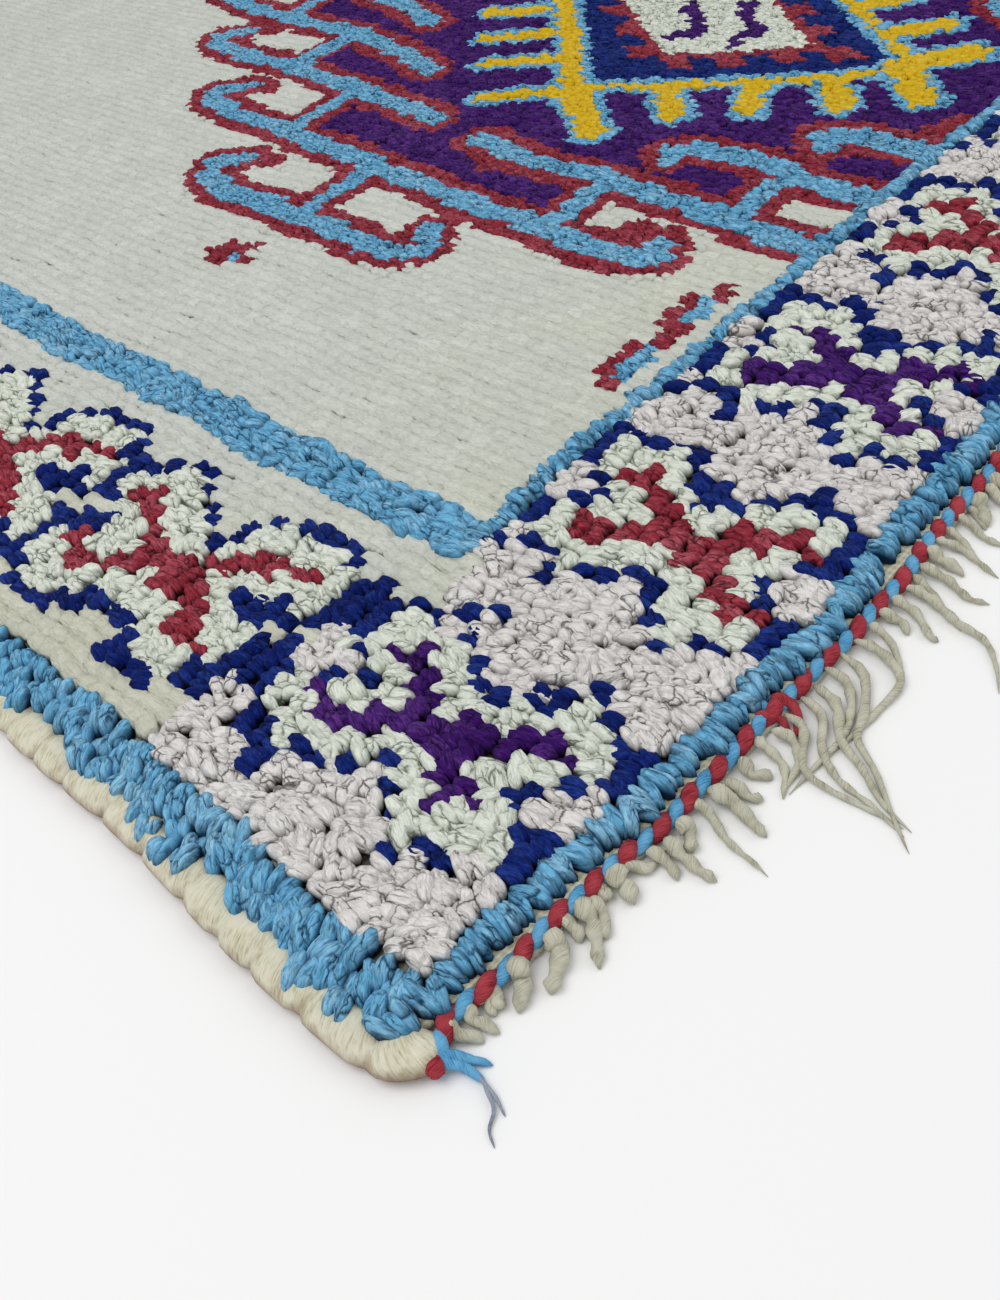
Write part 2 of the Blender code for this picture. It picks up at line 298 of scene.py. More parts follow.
# Light blue lies within barHalf of a bar or rung and red within outline of one. The right half is the
# left one, reflected in the leaning axis.
def drawMedallion(chart, x, y):
    m = medallion
    midX, midY = m["middle"]
    lean, reach = m["lean"]
    axis = midX + lean * reach * np.tanh((y - midY) / reach)
    across = np.abs(x - axis)
    side = axis - across
    for (lowX, lowY), (highX, highY), bottom, top in m["fills"]:
        bar = np.interp(y, (lowY, highY), (lowX, highX))
        chart[(side > bar) & (y > bottom) & (y < top)] = purple
    near = np.min([toLine(side, y, line) for line in m["bars"] + m["rungs"]], axis=0)
    chart[near < m["outline"]] = red
    for line in m["redKnobs"]:
        chart[toLine(side, y, line) < 0.07] = red
    chart[near < m["barHalf"]] = lightBlue
    # Inside the frame: rings of |x| / a + |y| / b, the red one with teeth
    halfX, halfY, heartY = m["heart"]
    ring = across / halfX + np.abs(y - heartY) / halfY
    serrated = 1.30 + 0.15 * np.sign(np.sin((across / halfX - np.abs(y - heartY) / halfY) * 9))
    inFrame = across / 0.97 + np.abs(y - 1.90) / np.where(y > 1.9, 1.10, 1.32) < 1
    chart[inFrame] = navy
    chart[inFrame & (ring < serrated)] = red
    chart[ring < 1] = mint
    for line in m["marks"]:
        chart[(toLine(x, y, line) < 0.045) & (ring < 0.9)] = purple
    for half, line in m["yellow"]:
        chart[toLine(side, y, line) < half + m["edging"]] = lightBlue
    for half, line in m["yellow"]:
        chart[toLine(side, y, line) < half] = yellow


# Small stray marks in the near field: row, first column, and the yarns side by side
strayMarks = (
    (16, 37, (red, lightBlue, lightBlue, lightBlue, lightBlue, red)),
    (17, 38, (red, red, red, red)),
    (16, 43, (red, red, lightBlue, lightBlue, lightBlue, red, red)),
    (17, 44, (red, red, red, red)),
    (43, 36, (red,)),
    (44, 35, (red, lightBlue, red, red)),
    (45, 35, (red, red, red)),
    (46, 36, (red,)),
)


def makeChart():
    chart = np.full((plan["rows"], plan["columns"]), cream)
    rows, columns = np.indices(chart.shape)
    x = (columns - innerLine) * columnStep
    y = (rows - innerRow) * rowStep
    drawMedallion(chart, x, y)
    upper = rows > middleRow
    chart[upper] = chart[::-1][upper]
    outer = np.minimum(columns, plan["columns"] - 1 - columns)
    endRows = np.minimum(rows, plan["rows"] - 1 - rows)
    chart[outer < innerLine] = cream
    pinkColumns, pinkRows = plan["pinkCorner"]
    onPink = (endRows < innerRow) | ((outer < pinkColumns) & (endRows < pinkRows))
    onPink &= ~((outer < innerLine) & (outer >= plan["creamFrom"]) & (endRows == innerRow - 1))
    chart[onPink] = pink
    # The other side and the far end are the same charts, reflected.
    mirrored, turnedOver, both = chart[:, ::-1], chart[::-1], chart[::-1, ::-1]
    for part in (chart, mirrored):
        for row in borderMotifs["sideRows"]:
            drawMotif(part, "side", borderMotifs["sideColumn"], row, red)
    for part, shift in ((chart, 0), (turnedOver, 1)):
        for k, column in enumerate(borderMotifs["endColumns"]):
            drawMotif(part, "end", column, 1, (red, purple)[(k + shift) % 2])
    for part, yarn in ((chart, purple), (mirrored, red), (turnedOver, red), (both, purple)):
        drawMotif(part, "corner", borderMotifs["sideColumn"], 1, yarn)
    for row, first, yarns in strayMarks:
        chart[row, first:first + len(yarns)] = yarns
    onLine = plan["lineWide"] + plan["borderWide"]
    inside = (outer >= onLine) & (endRows >= innerRow)
    chart[inside & ((outer < onLine + plan["lineWide"]) | (endRows == innerRow))] = lightBlue
    chart[(outer < plan["lineWide"]) | (endRows == 0)] = lightBlue
    return chart


# The chart with every knot cut two by two, and the field's drawing made again at that size.
def makeFineChart(chart):
    fine = np.repeat(np.repeat(chart, 2, axis=0), 2, axis=1)
    rows, columns = np.indices(fine.shape)
    drawn = np.full(fine.shape, cream)
    x = ((columns - 0.5) / 2 - innerLine) * columnStep
    y = ((rows - 0.5) / 2 - innerRow) * rowStep
    drawMedallion(drawn, x, y)
    upper = rows > middleRow * 2
    drawn[upper] = drawn[::-1][upper]
    for row, first, yarns in strayMarks:
        drawn[row * 2:row * 2 + 2, first * 2:(first + len(yarns)) * 2] = np.repeat(yarns, 2)
    outer = np.minimum(columns, 2 * plan["columns"] - 1 - columns) // 2
    endRows = np.minimum(rows, 2 * plan["rows"] - 1 - rows) // 2
    field = (outer > innerLine + 1) & (endRows > innerRow)
    return np.where(field, drawn, fine)


chart = makeChart()
fineChart = makeFineChart(chart)
print("chart drawn:", {name: int((chart == i).sum()) for i, name in enumerate(yarnNames)})

# How each kind of knot lies: sizes in metres, turn and spread in degrees. Stagger is how far, in rows,
# every second column is set forward of its neighbours. Soft is how much of the painted shade in the
# crevices it takes away.
knotKinds = {
    "field": {
        "wide": 0.0102, "long": 0.0204, "high": 0.0046, "top": 0.0112, "turn": 0, "spread": 5,
        "shift": 0.0003, "crease": 0.04, "droop": 0.02, "uneven": 0.00022, "stagger": 0.5, "soft": 0.60,
    },
    "plainSide": {
        "wide": 0.0103, "long": 0.0186, "high": 0.0060, "top": 0.0120, "turn": 0, "spread": 11,
        "shift": 0.0006, "crease": 0.06, "droop": 0.05, "uneven": 0.0004, "stagger": 0.5, "soft": 0.45,
    },
    "pattern": {
        "wide": 0.0096, "long": 0.0152, "high": 0.0066, "top": 0.0119, "turn": 0, "spread": 12,
        "shift": 0.0007, "crease": 0.06, "droop": 0.08, "uneven": 0.0004, "stagger": 0.2, "soft": 0.3,
    },
    "border": {
        "wide": 0.0110, "long": 0.0152, "high": 0.0080, "top": 0.0135, "turn": 0, "spread": 34,
        "shift": 0.0012, "crease": 0.08, "droop": 0.15, "uneven": 0.0008, "stagger": 0.1, "soft": 0.0,
    },
    "motif": {
        "wide": 0.0092, "long": 0.0128, "high": 0.0094, "top": 0.0134, "turn": 0, "spread": 26,
        "shift": 0.0008, "crease": 0.06, "droop": 0.18, "uneven": 0.0006, "stagger": 0.1, "soft": 0.0,
    },
    "sideLine": {
        "wide": 0.0098, "long": 0.0150, "high": 0.0114, "top": 0.0134, "turn": 62, "spread": 24,
        "shift": 0.0015, "crease": 0.07, "droop": 0.48, "uneven": 0.0011, "stagger": 0.0, "soft": 0.0,
    },
    "innerLine": {
        "wide": 0.0100, "long": 0.0158, "high": 0.0105, "top": 0.0137, "turn": 0, "spread": 26,
        "shift": 0.0009, "crease": 0.07, "droop": 0.20, "uneven": 0.0007, "stagger": 0.25, "soft": 0.0,
    },
    "endLine": {
        "wide": 0.0092, "long": 0.0146, "high": 0.0116, "top": 0.0136, "turn": 0, "spread": 16,
        "shift": 0.0006, "crease": 0.09, "droop": 0.36, "uneven": 0.0007, "stagger": 0.0, "soft": 0.0,
    },
}
kindNames = list(knotKinds)

# Levels of detail: how a knot is cut across and along, how much of its width and length a part keeps,
# the sides round a part, the polar angles of its rings, and how blunt its corners are
tuftLevels = {
    "close": {"cut": (2, 1), "keeps": (0.66, 0.92), "around": 10, "angles": (26, 54, 82, 110), "blunt": 2.3},
    "middle": {"cut": (2, 1), "keeps": (0.70, 0.95), "around": 8, "angles": (30, 62, 104), "blunt": 2.5},
    "loop": {"cut": (2, 1), "keeps": (0.60, 0.96), "around": 9, "angles": (26, 54, 82, 110), "blunt": 2.3},
    "fine": {"cut": (2, 2), "keeps": (0.64, 0.60), "around": 5, "angles": (48, 100), "blunt": 2.5},
    "plain": {"cut": (1, 1), "keeps": (1.0, 1.0), "around": 10, "angles": (42, 98), "blunt": 4.0},
    "hidden": {"cut": (1, 1), "keeps": (1.4, 1.4), "around": 6, "angles": (86,), "blunt": 3.0},
}
closePixels = 15.5  # a knot's width in the picture from which it counts as close
pictureMargin = 60  # pixels past the picture's edges that still count as shown


# A unit ball of rings, blunter than a sphere, between a top pole and a flat bottom. With c = cos(b) and
# s = sin(b), ring a has the radius sin(a)^0.75 / (|c|^n + |s|^n)^(1/n) and the height cos(a).
def tuftTemplate(around, angles, n):
    polar = np.radians(angles)[:, None]
    turn = (2 * math.pi * (np.arange(around) + 0.5) / around)[None, :]
    c, s = np.cos(turn), np.sin(turn)
    radius = np.sin(polar) ** 0.75 / (np.abs(c) ** n + np.abs(s) ** n) ** (1 / n)
    rings = np.stack([radius * c, radius * s, np.cos(polar) + 0 * turn], axis=2)
    points = np.concatenate([[[0.0, 0.0, 1.0]], rings.reshape(-1, 3)])
    here = np.arange(around)
    after = (here + 1) % around
    top = np.stack([0 * here, here + 1, after + 1], axis=1)
    starts = 1 + around * np.arange(len(angles) - 1)[:, None]
    bands = np.stack([starts + here, starts + around + here, starts + around + after, starts + after], axis=2)
    bottom = (1 + (len(angles) - 1) * around + here)[None, ::-1]
    return points, (top, bands.reshape(-1, 4), bottom)


# How far the tufts of each outer line reach over the selvedge, row by row from the near end, in
# millimetres; past the table they go on as a sum of two sines.
nearReach = (0, 0, 5, -2, 0, -5, -5, -4, -2, -7, -5, 5, 5, 4, 3, 1)


def outerReach(rows):
    wave = 0.0045 * np.sin(rows * 1.13) + 0.0035 * np.sin(rows * 0.47 + 1)
    table = np.array(nearReach) / 1000
    return np.where(rows < len(table), table[np.minimum(rows, len(table) - 1)], wave)


knotLay = {
    "sizes": 0.07,  # how much knots differ in size
    "edgeShares": (1.0, 0.5, 0.15, 0.0),  # each outer column's share of the reach over the selvedge
    "edgeInsets": (0.0, 0.0010, 0.0030, 0.0),
}


# Which way each knot lies and how big it is, by where it is in the rug. Rows and columns wander by sums
# of sines of each other, and each knot is a little off its place.
def knotFacts(chance):
    rows, columns = np.indices(chart.shape)
    outer = np.minimum(columns, plan["columns"] - 1 - columns)
    endRows = np.minimum(rows, plan["rows"] - 1 - rows)
    inBorder = (outer < innerLine - 1) | (endRows < innerRow)
    strong = (chart == navy) | (chart == red) | (chart == purple)
    kind = np.full(chart.shape, kindNames.index("pattern"))
    kind[(chart == cream) & ~inBorder] = kindNames.index("field")
    kind[(chart == cream) & inBorder] = kindNames.index("plainSide")
    kind[inBorder & (chart != cream)] = kindNames.index("border")
    kind[inBorder & strong] = kindNames.index("motif")
    kind[(np.abs(outer - innerLine) <= 1) & (endRows >= innerRow)] = kindNames.index("innerLine")
    kind[(endRows == innerRow) & (outer > innerLine)] = kindNames.index("endLine")
    kind[endRows == 0] = kindNames.index("endLine")
    kind[(outer < plan["lineWide"]) & (endRows > 0)] = kindNames.index("sideLine")
    parts = fineChart.reshape(plan["rows"], 2, plan["columns"], 2)
    kind[(kind == kindNames.index("field")) & (parts != cream).any(axis=(1, 3))] = kindNames.index("pattern")
    facts = {name: np.array([knotKinds[k][name] for k in kindNames])[kind] for name in knotKinds["field"]}
    facts["kind"] = kind
    side = np.where(columns < middleColumn, -1.0, 1.0)
    facts["turn"] = np.radians(facts["turn"] * side + facts["spread"] * chance.normal(0, 0.6, chart.shape))
    x = (columns - middleColumn) * plan["knotWide"]
    y = (rows - middleRow) * plan["rowHigh"]
    x = x + 0.0012 * np.sin(y * 31 + 1.3 * np.sin(x * 9)) + 0.0008 * np.sin(y * 73 + x * 5)
    x = x + facts["shift"] * chance.normal(0, 0.7, chart.shape)
    y = y + 0.0014 * np.sin(x * 27 + 0.9 * np.sin(y * 8)) + 0.0009 * np.sin(x * 61 + y * 6)
    y = y + facts["shift"] * chance.normal(0, 0.7, chart.shape)
    y = y + facts["stagger"] * plan["rowHigh"] * np.where(columns % 2, 0.5, -0.5)
    shares = np.array(knotLay["edgeShares"])[np.minimum(outer, 3)]
    inset = np.array(knotLay["edgeInsets"])[np.minimum(outer, 3)]
    x = x + side * (outerReach(rows) * shares + inset) * (endRows > 0)
    facts["x"], facts["y"] = laid(x, y)
    facts["top"] = facts["top"] + facts["uneven"] * chance.normal(0, 1, chart.shape).clip(-2, 2)
    size = 1 + knotLay["sizes"] * chance.normal(0, 1, chart.shape).clip(-2, 2)
    facts["wide"] = facts["wide"] * size
    facts["long"] = facts["long"] * size
    return {name: value.ravel() for name, value in facts.items()}


# The parts of the picked knots: across by along of them in each, with their own turn, length and height.
def cutKnots(facts, picked, level, chance):
    across, along = level["cut"]
    parts = across * along
    count = len(picked) * parts
    lobes = {name: np.repeat(value[picked], parts) for name, value in facts.items()}
    i = np.tile(np.repeat(np.arange(across), along), len(picked))
    j = np.tile(np.arange(along), len(picked) * across)
    knot = np.repeat(picked, parts)
    row, column = knot // plan["columns"], knot % plan["columns"]
    lobes["yarn"] = chart[row, column]
    if along == 2:
        lobes["yarn"] = fineChart[row * 2 + j, column * 2 + i]
    loose = 1.0 if parts > 1 else 0.0
    sideways = (i - (across - 1) / 2) * lobes["wide"] / across * chance.uniform(0.86, 1.0, count)
    ahead = (j - (along - 1) / 2) * plan["rowHigh"] / along
    ahead = ahead + loose * lobes["long"] * chance.normal(0, 0.06, count)
    lobes["x"] = lobes["x"] + sideways * np.cos(lobes["turn"]) - ahead * np.sin(lobes["turn"])
    lobes["y"] = lobes["y"] + sideways * np.sin(lobes["turn"]) + ahead * np.cos(lobes["turn"])
    astray = np.radians(chance.normal(0, 1, count) * (5 + 60 * lobes["crease"]))
    lobes["turn"] = lobes["turn"] + loose * astray
    size = 1 + loose * chance.normal(0, 0.09, (2, count))
    lobes["wide"] = lobes["wide"] * size[0] * level["keeps"][0]
    lobes["long"] = lobes["long"] * size[1] * level["keeps"][1]
    lobes["top"] = lobes["top"] + loose * lobes["uneven"] * chance.normal(-0.2, 0.9, count)
    return lobes


# A lobe is the unit ball scaled to its size and flattened on top, h becoming 1 - (1 - h)^1.35. Its radius
# swells by sums of sines round it, a groove exp(-(d / 0.3)^2) runs over its top, its tip droops with t^2,
# it bends with t^2, and then it is turned.
def lobePoints(template, lobes, chance):
    s, t, h = template.T[:, None, :]
    f = {name: value[:, None] for name, value in lobes.items()}
    phase = chance.uniform(0, 2 * math.pi, (len(f["x"]), 5, 1))
    crease = f["crease"]
    round1 = np.sin(2.2 * s + 1.1 * t + phase[:, 0]) + 0.8 * np.sin(3.4 * t - 1.7 * s + 1.4 * h + phase[:, 1])
    groove = np.exp(-((s * np.cos(phase[:, 2]) + t * np.sin(phase[:, 2]) * 0.6 - 0.12) / 0.3) ** 2)
    swell = 1 + crease * round1
    wide = s * swell * f["wide"] / 2 + 0.10 * np.cos(phase[:, 3]) * (t * t - 0.3) * f["wide"]
    long = t * swell * f["long"] / 2
    dip = 2.2 * crease * groove * (h > -0.2)
    rise = (1 - (1 - h) ** 1.35) * (1 + 0.6 * crease * round1) - dip - f["droop"] * np.clip(-t, 0, 1) ** 2
    rise = rise + 0.12 * np.cos(phase[:, 4]) * s * (h > -0.2)
    z = np.maximum(f["top"] + (rise - 1) * f["high"] / 2, 0.0012)
    cosine, sine = np.cos(f["turn"]), np.sin(f["turn"])
    x = f["x"] + wide * cosine - long * sine
    y = f["y"] + wide * sine + long * cosine
    # depth carries the wool's painted crevice shade: low at a lobe's bottom and in its groove, lifted by soft
    depth = np.clip(0.5 + 0.5 * h - 2.4 * crease * groove, 0, 1)
    depth = depth + (1 - depth) * f["soft"]
    return np.stack([x, y, z], axis=2), depth, np.stack([wide, long], axis=2)


# Puts points and faces into a mesh, with smooth shading, named point attributes and a UV map. Faces come
# as arrays, one for each number of corners, and flat holds a place for each point or each corner.
def addMesh(name, points, faces, looks, attributes=None, flat=None):
    corners = np.concatenate([part.ravel() for part in faces])
    sizes = np.concatenate([np.full(len(part), part.shape[1]) for part in faces])
    mesh = bpy.data.meshes.new(name)
    mesh.vertices.add(len(points))
    mesh.vertices.foreach_set("co", np.ascontiguousarray(points, np.float32).ravel())
    mesh.loops.add(len(corners))
    mesh.loops.foreach_set("vertex_index", corners.astype(np.int32))
    mesh.polygons.add(len(sizes))
    mesh.polygons.foreach_set("loop_start", (np.cumsum(sizes) - sizes).astype(np.int32))
    mesh.polygons.foreach_set("use_smooth", np.ones(len(sizes), bool))
    for key, values in (attributes or {}).items():
        kept = mesh.attributes.new(key, "FLOAT", "POINT")
        kept.data.foreach_set("value", np.ascontiguousarray(values, np.float32).ravel())
    if flat is not None:
        layer = mesh.uv_layers.new(name="lay")
        flat = flat if len(flat) == len(corners) and len(flat) != len(points) else flat[corners]
        layer.data.foreach_set("uv", np.ascontiguousarray(flat, np.float32).ravel())
    mesh.materials.append(looks)
    mesh.update(calc_edges=True)
    made = bpy.data.objects.new(name, mesh)
    bpy.context.scene.collection.objects.link(made)
    return made


def triangleCount(faces):
    return sum(len(part) * (part.shape[1] - 2) for part in faces)


# Wraps a socket, so that sums and products of values are written as plain arithmetic.
class Value:
    def __init__(self, look, socket):
        self.look, self.socket = look, socket

    def __add__(self, other):
        return self.look.sum("ADD", self, other)

    def __radd__(self, other):
        return self.look.sum("ADD", other, self)

    def __sub__(self, other):
        return self.look.sum("SUBTRACT", self, other)

    def __rsub__(self, other):
        return self.look.sum("SUBTRACT", other, self)

    def __mul__(self, other):
        return self.look.sum("MULTIPLY", self, other)

    def __rmul__(self, other):
        return self.look.sum("MULTIPLY", other, self)

    def __truediv__(self, other):
        return self.look.sum("DIVIDE", self, other)


class Look:
    def __init__(self, name):
        self.material = bpy.data.materials.new(name)
        self.material.use_nodes = True
        self.tree = self.material.node_tree
        self.shader = self.tree.nodes["Principled BSDF"]

    # Any node: its type, its settings, then the values or links of its inputs.
    def add(self, kind, settings=None, inputs=None, output=0):
        node = self.tree.nodes.new(kind)
        for key, value in (settings or {}).items():
            setattr(node, key, value)
        for key, value in (inputs or {}).items():
            self.feed(node.inputs[key], value)
        return Value(self, node.outputs[output])

    def feed(self, socket, value):
        if isinstance(value, Value):
            self.tree.links.new(value.socket, socket)
        else:
            socket.default_value = value

    def sum(self, operation, *values):
        return self.add("ShaderNodeMath", {"operation": operation}, dict(enumerate(values)))

    def clamped(self, value):
        return self.add("ShaderNodeClamp", None, {0: value})

    def mix(self, share, first, second):
        return self.add("ShaderNodeMix", {"data_type": "RGBA"}, {0: share, 6: first, 7: second}, 2)

    def named(self, name):
        return self.add("ShaderNodeAttribute", {"attribute_name": name}, None, 2)

    # The three parts of the place on the object
    def place(self):
        place = self.add("ShaderNodeTexCoord", output=3)
        return self.split(place, 3)

    # The two parts of the piece's own UV map
    def flatPlace(self):
        return self.split(self.add("ShaderNodeUVMap", {"uv_map": "lay"}), 2)

    def split(self, vector, count):
        node = self.add("ShaderNodeSeparateXYZ", None, {0: vector}).socket.node
        return [Value(self, node.outputs[k]) for k in range(count)]

    def wave(self, value):
        return self.sum("SINE", value) * 0.5 + 0.5

    # Distance from the nearest edge of irregular cells.
    def cells(self, x, y, z, scale):
        place = self.add("ShaderNodeCombineXYZ", None, {0: x, 1: y, 2: z})
        return self.add("ShaderNodeTexVoronoi", {"feature": "DISTANCE_TO_EDGE"},
                        {"Vector": place, "Scale": scale})

    # Noise of a vector made from three values.
    def noise(self, x, y, z, scale, detail=2.0, roughness=0.5):
        place = self.add("ShaderNodeCombineXYZ", None, {0: x, 1: y, 2: z})
        return self.add("ShaderNodeTexNoise", None,
                        {"Vector": place, "Scale": scale, "Detail": detail, "Roughness": roughness})

    def surface(self, inputs):
        for key, value in inputs.items():
            self.feed(self.shader.inputs[key], value)


# sRGB in 0-255 to the linear colour that a shader takes
def colour(r, g, b):
    parts = [(v / 255 / 12.92) if v < 10.3 else ((v / 255 + 0.055) / 1.055) ** 2.4 for v in (r, g, b)]
    return (*parts, 1.0)


# Each yarn: its shade colour, painted shade for the dark between its plies and tufts, its body, and its lit
# fibres, a painted highlight. Cells crack it: their size in metres, how far they are stretched along a tuft,
# and how dark the painted shade in the cracks is. Line is how dark the painted shade between strands is,
# and shade is where painted shade begins to darken the crevices between tufts. Warm is the body and the lit
# fibres of the less bleached wool near the edges.
yarns = {
    "cream": {"shadeColour": (160, 162, 146), "body": (204, 208, 200), "pale": (224, 228, 221),
              "warm": ((202, 203, 185), (224, 224, 207)),
              "cell": 0.0060, "stretch": 3.0, "crack": 0.12, "line": 0.20, "shade": 0.02},
    "pink": {"shadeColour": (60, 52, 46), "body": (227, 223, 220), "pale": (246, 244, 242),
             "cell": 0.0060, "stretch": 1.5, "crack": 0.95, "line": 0.16, "shade": 0.34},
    "mint": {"shadeColour": (62, 70, 50), "body": (223, 229, 215), "pale": (243, 246, 238),
             "cell": 0.0060, "stretch": 1.9, "crack": 0.85, "line": 0.18, "shade": 0.31},
    "lightBlue": {"shadeColour": (6, 44, 76), "body": (112, 185, 227), "pale": (176, 222, 245),
                  "cell": 0.0052, "stretch": 2.8, "crack": 0.95, "line": 0.46, "shade": 0.42},
    "navy": {"shadeColour": (0, 2, 22), "body": (6, 30, 108), "pale": (46, 74, 162),
             "cell": 0.0056, "stretch": 2.2, "crack": 0.85, "line": 0.55, "shade": 0.32},
    "red": {"shadeColour": (38, 4, 10), "body": (148, 43, 59), "pale": (202, 106, 120),
            "cell": 0.0056, "stretch": 1.8, "crack": 0.85, "line": 0.50, "shade": 0.32},
    "purple": {"shadeColour": (6, 0, 22), "body": (59, 15, 102), "pale": (114, 66, 154),
               "cell": 0.0056, "stretch": 1.8, "crack": 0.85, "line": 0.50, "shade": 0.32},
    "yellow": {"shadeColour": (140, 106, 8), "body": (220, 182, 26), "pale": (238, 206, 80),
               "cell": 0.0058, "stretch": 2.0, "crack": 0.35, "line": 0.20, "shade": 0.12},
}
woolFinish = {"Roughness": 0.92, "Specular IOR Level": 0.10, "Sheen Weight": 0.02, "Sheen Roughness": 0.5}


# Wool: fibres and strands are noise stretched along the tuft. Painted shade darkens it where the depth
# attribute is low, in the crevices between tufts, between strands, and in fine cracks that come and go,
# where the distance to the edge of bent cells is small. Its lit fibres are a painted highlight.
def woolLook(name, yarn):
    look = Look(name)
    warm = yarn.get("warm")
    tone, depth = look.named("tone"), look.named("depth")
    across, along = look.flatPlace()
    x, y, z = look.place()
    fine = look.noise(across * 2600 + tone * 91, along * 420 + tone * 37, tone * 13, 1.0, 3.0, 0.6)
    coarse = look.noise(across * 620 + tone * 17, along * 260 + tone * 53, tone * 29, 1.0, 2.0, 0.5)
    strand = look.noise(across * 1100 + coarse * 1.4 + tone * 67, along * 170 + tone * 23, tone * 41,
                        1.0, 2.0, 0.55)
    patch = look.noise(x, y, z, 16.0, 2.0)
    shown = look.clamped((look.noise(x, y, z, 120.0, 1.0) - 0.38) * 5)
    edge = look.cells(across + (coarse - 0.5) * 0.0030, along / yarn["stretch"] + (fine - 0.5) * 0.0008,
                      z * 0.4 + tone * 3.7, 1 / yarn["cell"])
    crackOpen = look.clamped(edge * 14 + (1 - shown))
    line = look.clamped((strand - 0.37) * 9)
    # painted shade in the crevices between tufts, where the depth attribute is low
    shade = look.clamped((depth - yarn["shade"]) * 2.1)
    # painted highlight on lit fibres, varied at random by each tuft's tone and by patches
    lit = look.clamped((fine - 0.42) * 1.7 + (tone - 0.5) * 0.5 + (coarse - 0.5) * 1.1 + (patch - 0.5) * 0.8)
    body = look.mix(lit, colour(*yarn["body"]), colour(*yarn["pale"]))
    if warm:
        share = look.clamped(-1.70 - y * 2.6 + (patch - 0.5)) + look.clamped((-0.52 - x) * 14)
        body = look.mix(look.clamped(share), body, look.mix(lit, colour(*warm[0]), colour(*warm[1])))
    # unshaded is 1 away from all painted shade: crevices, cracks and the gaps between strands
    unshaded = shade * (1 - yarn["crack"] * (1 - crackOpen)) * (1 - yarn["line"] * (1 - line))
    finished = look.mix(unshaded, colour(*yarn["shadeColour"]), body)
    height = fine * 0.4 + strand * 1.1 + coarse * 0.3 + look.clamped(edge * 4.5) * (1.5 * yarn["crack"])
    if warm:
        height = height + look.noise(x, y, z, 170.0, 1.0) * 3.2
    bump = look.add("ShaderNodeBump", None, {"Strength": 0.9, "Distance": 0.0010, "Height": height})
    look.surface({"Base Color": finished, "Normal": bump, **woolFinish})
    return look.material


woolLooks = {name: woolLook("wool_" + name, yarns[name]) for name in yarns}


def keep(piece):
    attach(piece, "root")
    return piece


# Which level each knot is made at: by its kind where the picture shows it, else hidden.
def knotLevels(facts):
    far, across, below = projected(np.stack([facts["x"], facts["y"], facts["top"]], axis=1))
    wide, tall = view["picture"]
    seen = (far > 0.05) & (across > -pictureMargin) & (across < wide + pictureMargin)
    seen &= (below > -pictureMargin) & (below < tall + pictureMargin)
    pixels = view["focal"] * plan["knotWide"] / np.maximum(far, 0.05)
    names = list(tuftLevels)
    levelOf = np.where(pixels > closePixels, names.index("close"), names.index("middle"))
    levelOf[facts["kind"] == kindNames.index("motif")] = names.index("middle")
    levelOf[facts["kind"] == kindNames.index("endLine")] = names.index("loop")
    levelOf[facts["kind"] == kindNames.index("pattern")] = names.index("fine")
    plain = (facts["kind"] == kindNames.index("field")) | (facts["kind"] == kindNames.index("plainSide"))
    levelOf[plain] = names.index("plain")
    levelOf[~seen] = names.index("hidden")
    return levelOf


# All the knots: worked out level by level as arrays, then joined into one mesh for each yarn and place.
def makeKnots():
    chance = np.random.default_rng(21)
    facts = knotFacts(chance)
    levelOf = knotLevels(facts)
    print("  knots at each level:", dict(zip(tuftLevels, np.bincount(levelOf))))
    batches = []
    for number, level in enumerate(tuftLevels.values()):
        picked = np.flatnonzero(levelOf == number)
        lobes = cutKnots(facts, picked, level, chance)
        template, faces = tuftTemplate(level["around"], level["angles"], level["blunt"])
        points, depth, flat = lobePoints(template, lobes, chance)
        tone = np.repeat(chance.uniform(0, 1, (len(points), 1)), len(template), axis=1)
        place = np.full(len(points), "corner")
        if level is tuftLevels["hidden"]:
            place = np.where(lobes["y"] < 0, "near", "far")
        batches.append((lobes["yarn"], place, points, faces, depth, tone, flat))
    total = 0
    for index, name in enumerate(yarnNames):
        for where in ("corner", "near", "far"):
            parts, start = [], 0
            for yarn, place, points, faces, depth, tone, flat in batches:
                own = (yarn == index) & (place == where)
                if not own.any():
                    continue
                shifts = (start + np.arange(own.sum()) * points.shape[1])[:, None, None]
                made = [(part[None] + shifts).reshape(-1, part.shape[1]) for part in faces]
                parts.append((points[own].reshape(-1, 3), made, depth[own].ravel(), tone[own].ravel(),
                              flat[own].reshape(-1, 2)))
                start += own.sum() * points.shape[1]
            if not parts:
                continue
            points, faces, depth, tone, flat = zip(*parts)
            faces = [part for made in faces for part in made]
            total += triangleCount(faces)
            # the depth attribute carries the painted crevice shade to the wool
            piece = addMesh(f"knots_{name}_{where}", np.concatenate(points), faces, woolLooks[name],
                            {"depth": np.concatenate(depth), "tone": np.concatenate(tone)},
                            np.concatenate(flat))
            keep(piece)
            print(f"  {piece.name}: {triangleCount(faces)} triangles")
    print("knots made:", total, "triangles")


makeKnots()


# A Catmull-Rom curve through the points, at even steps of its parameter.
def smoothPath(points, count):
    points = np.asarray(points, float)
    padded = np.concatenate([2 * points[:1] - points[1:2], points, 2 * points[-1:] - points[-2:-1]])
    at = np.linspace(0, len(points) - 1, count)
    span = np.minimum(at.astype(int), len(points) - 2)
    t = (at - span)[:, None]
    a, b, c, d = (padded[span + k] for k in range(4))
    curved = (2 * a - 5 * b + 4 * c - d) * t ** 2 + (3 * b - a - 3 * c + d) * t ** 3
    return 0.5 * (2 * b + (c - a) * t + curved)


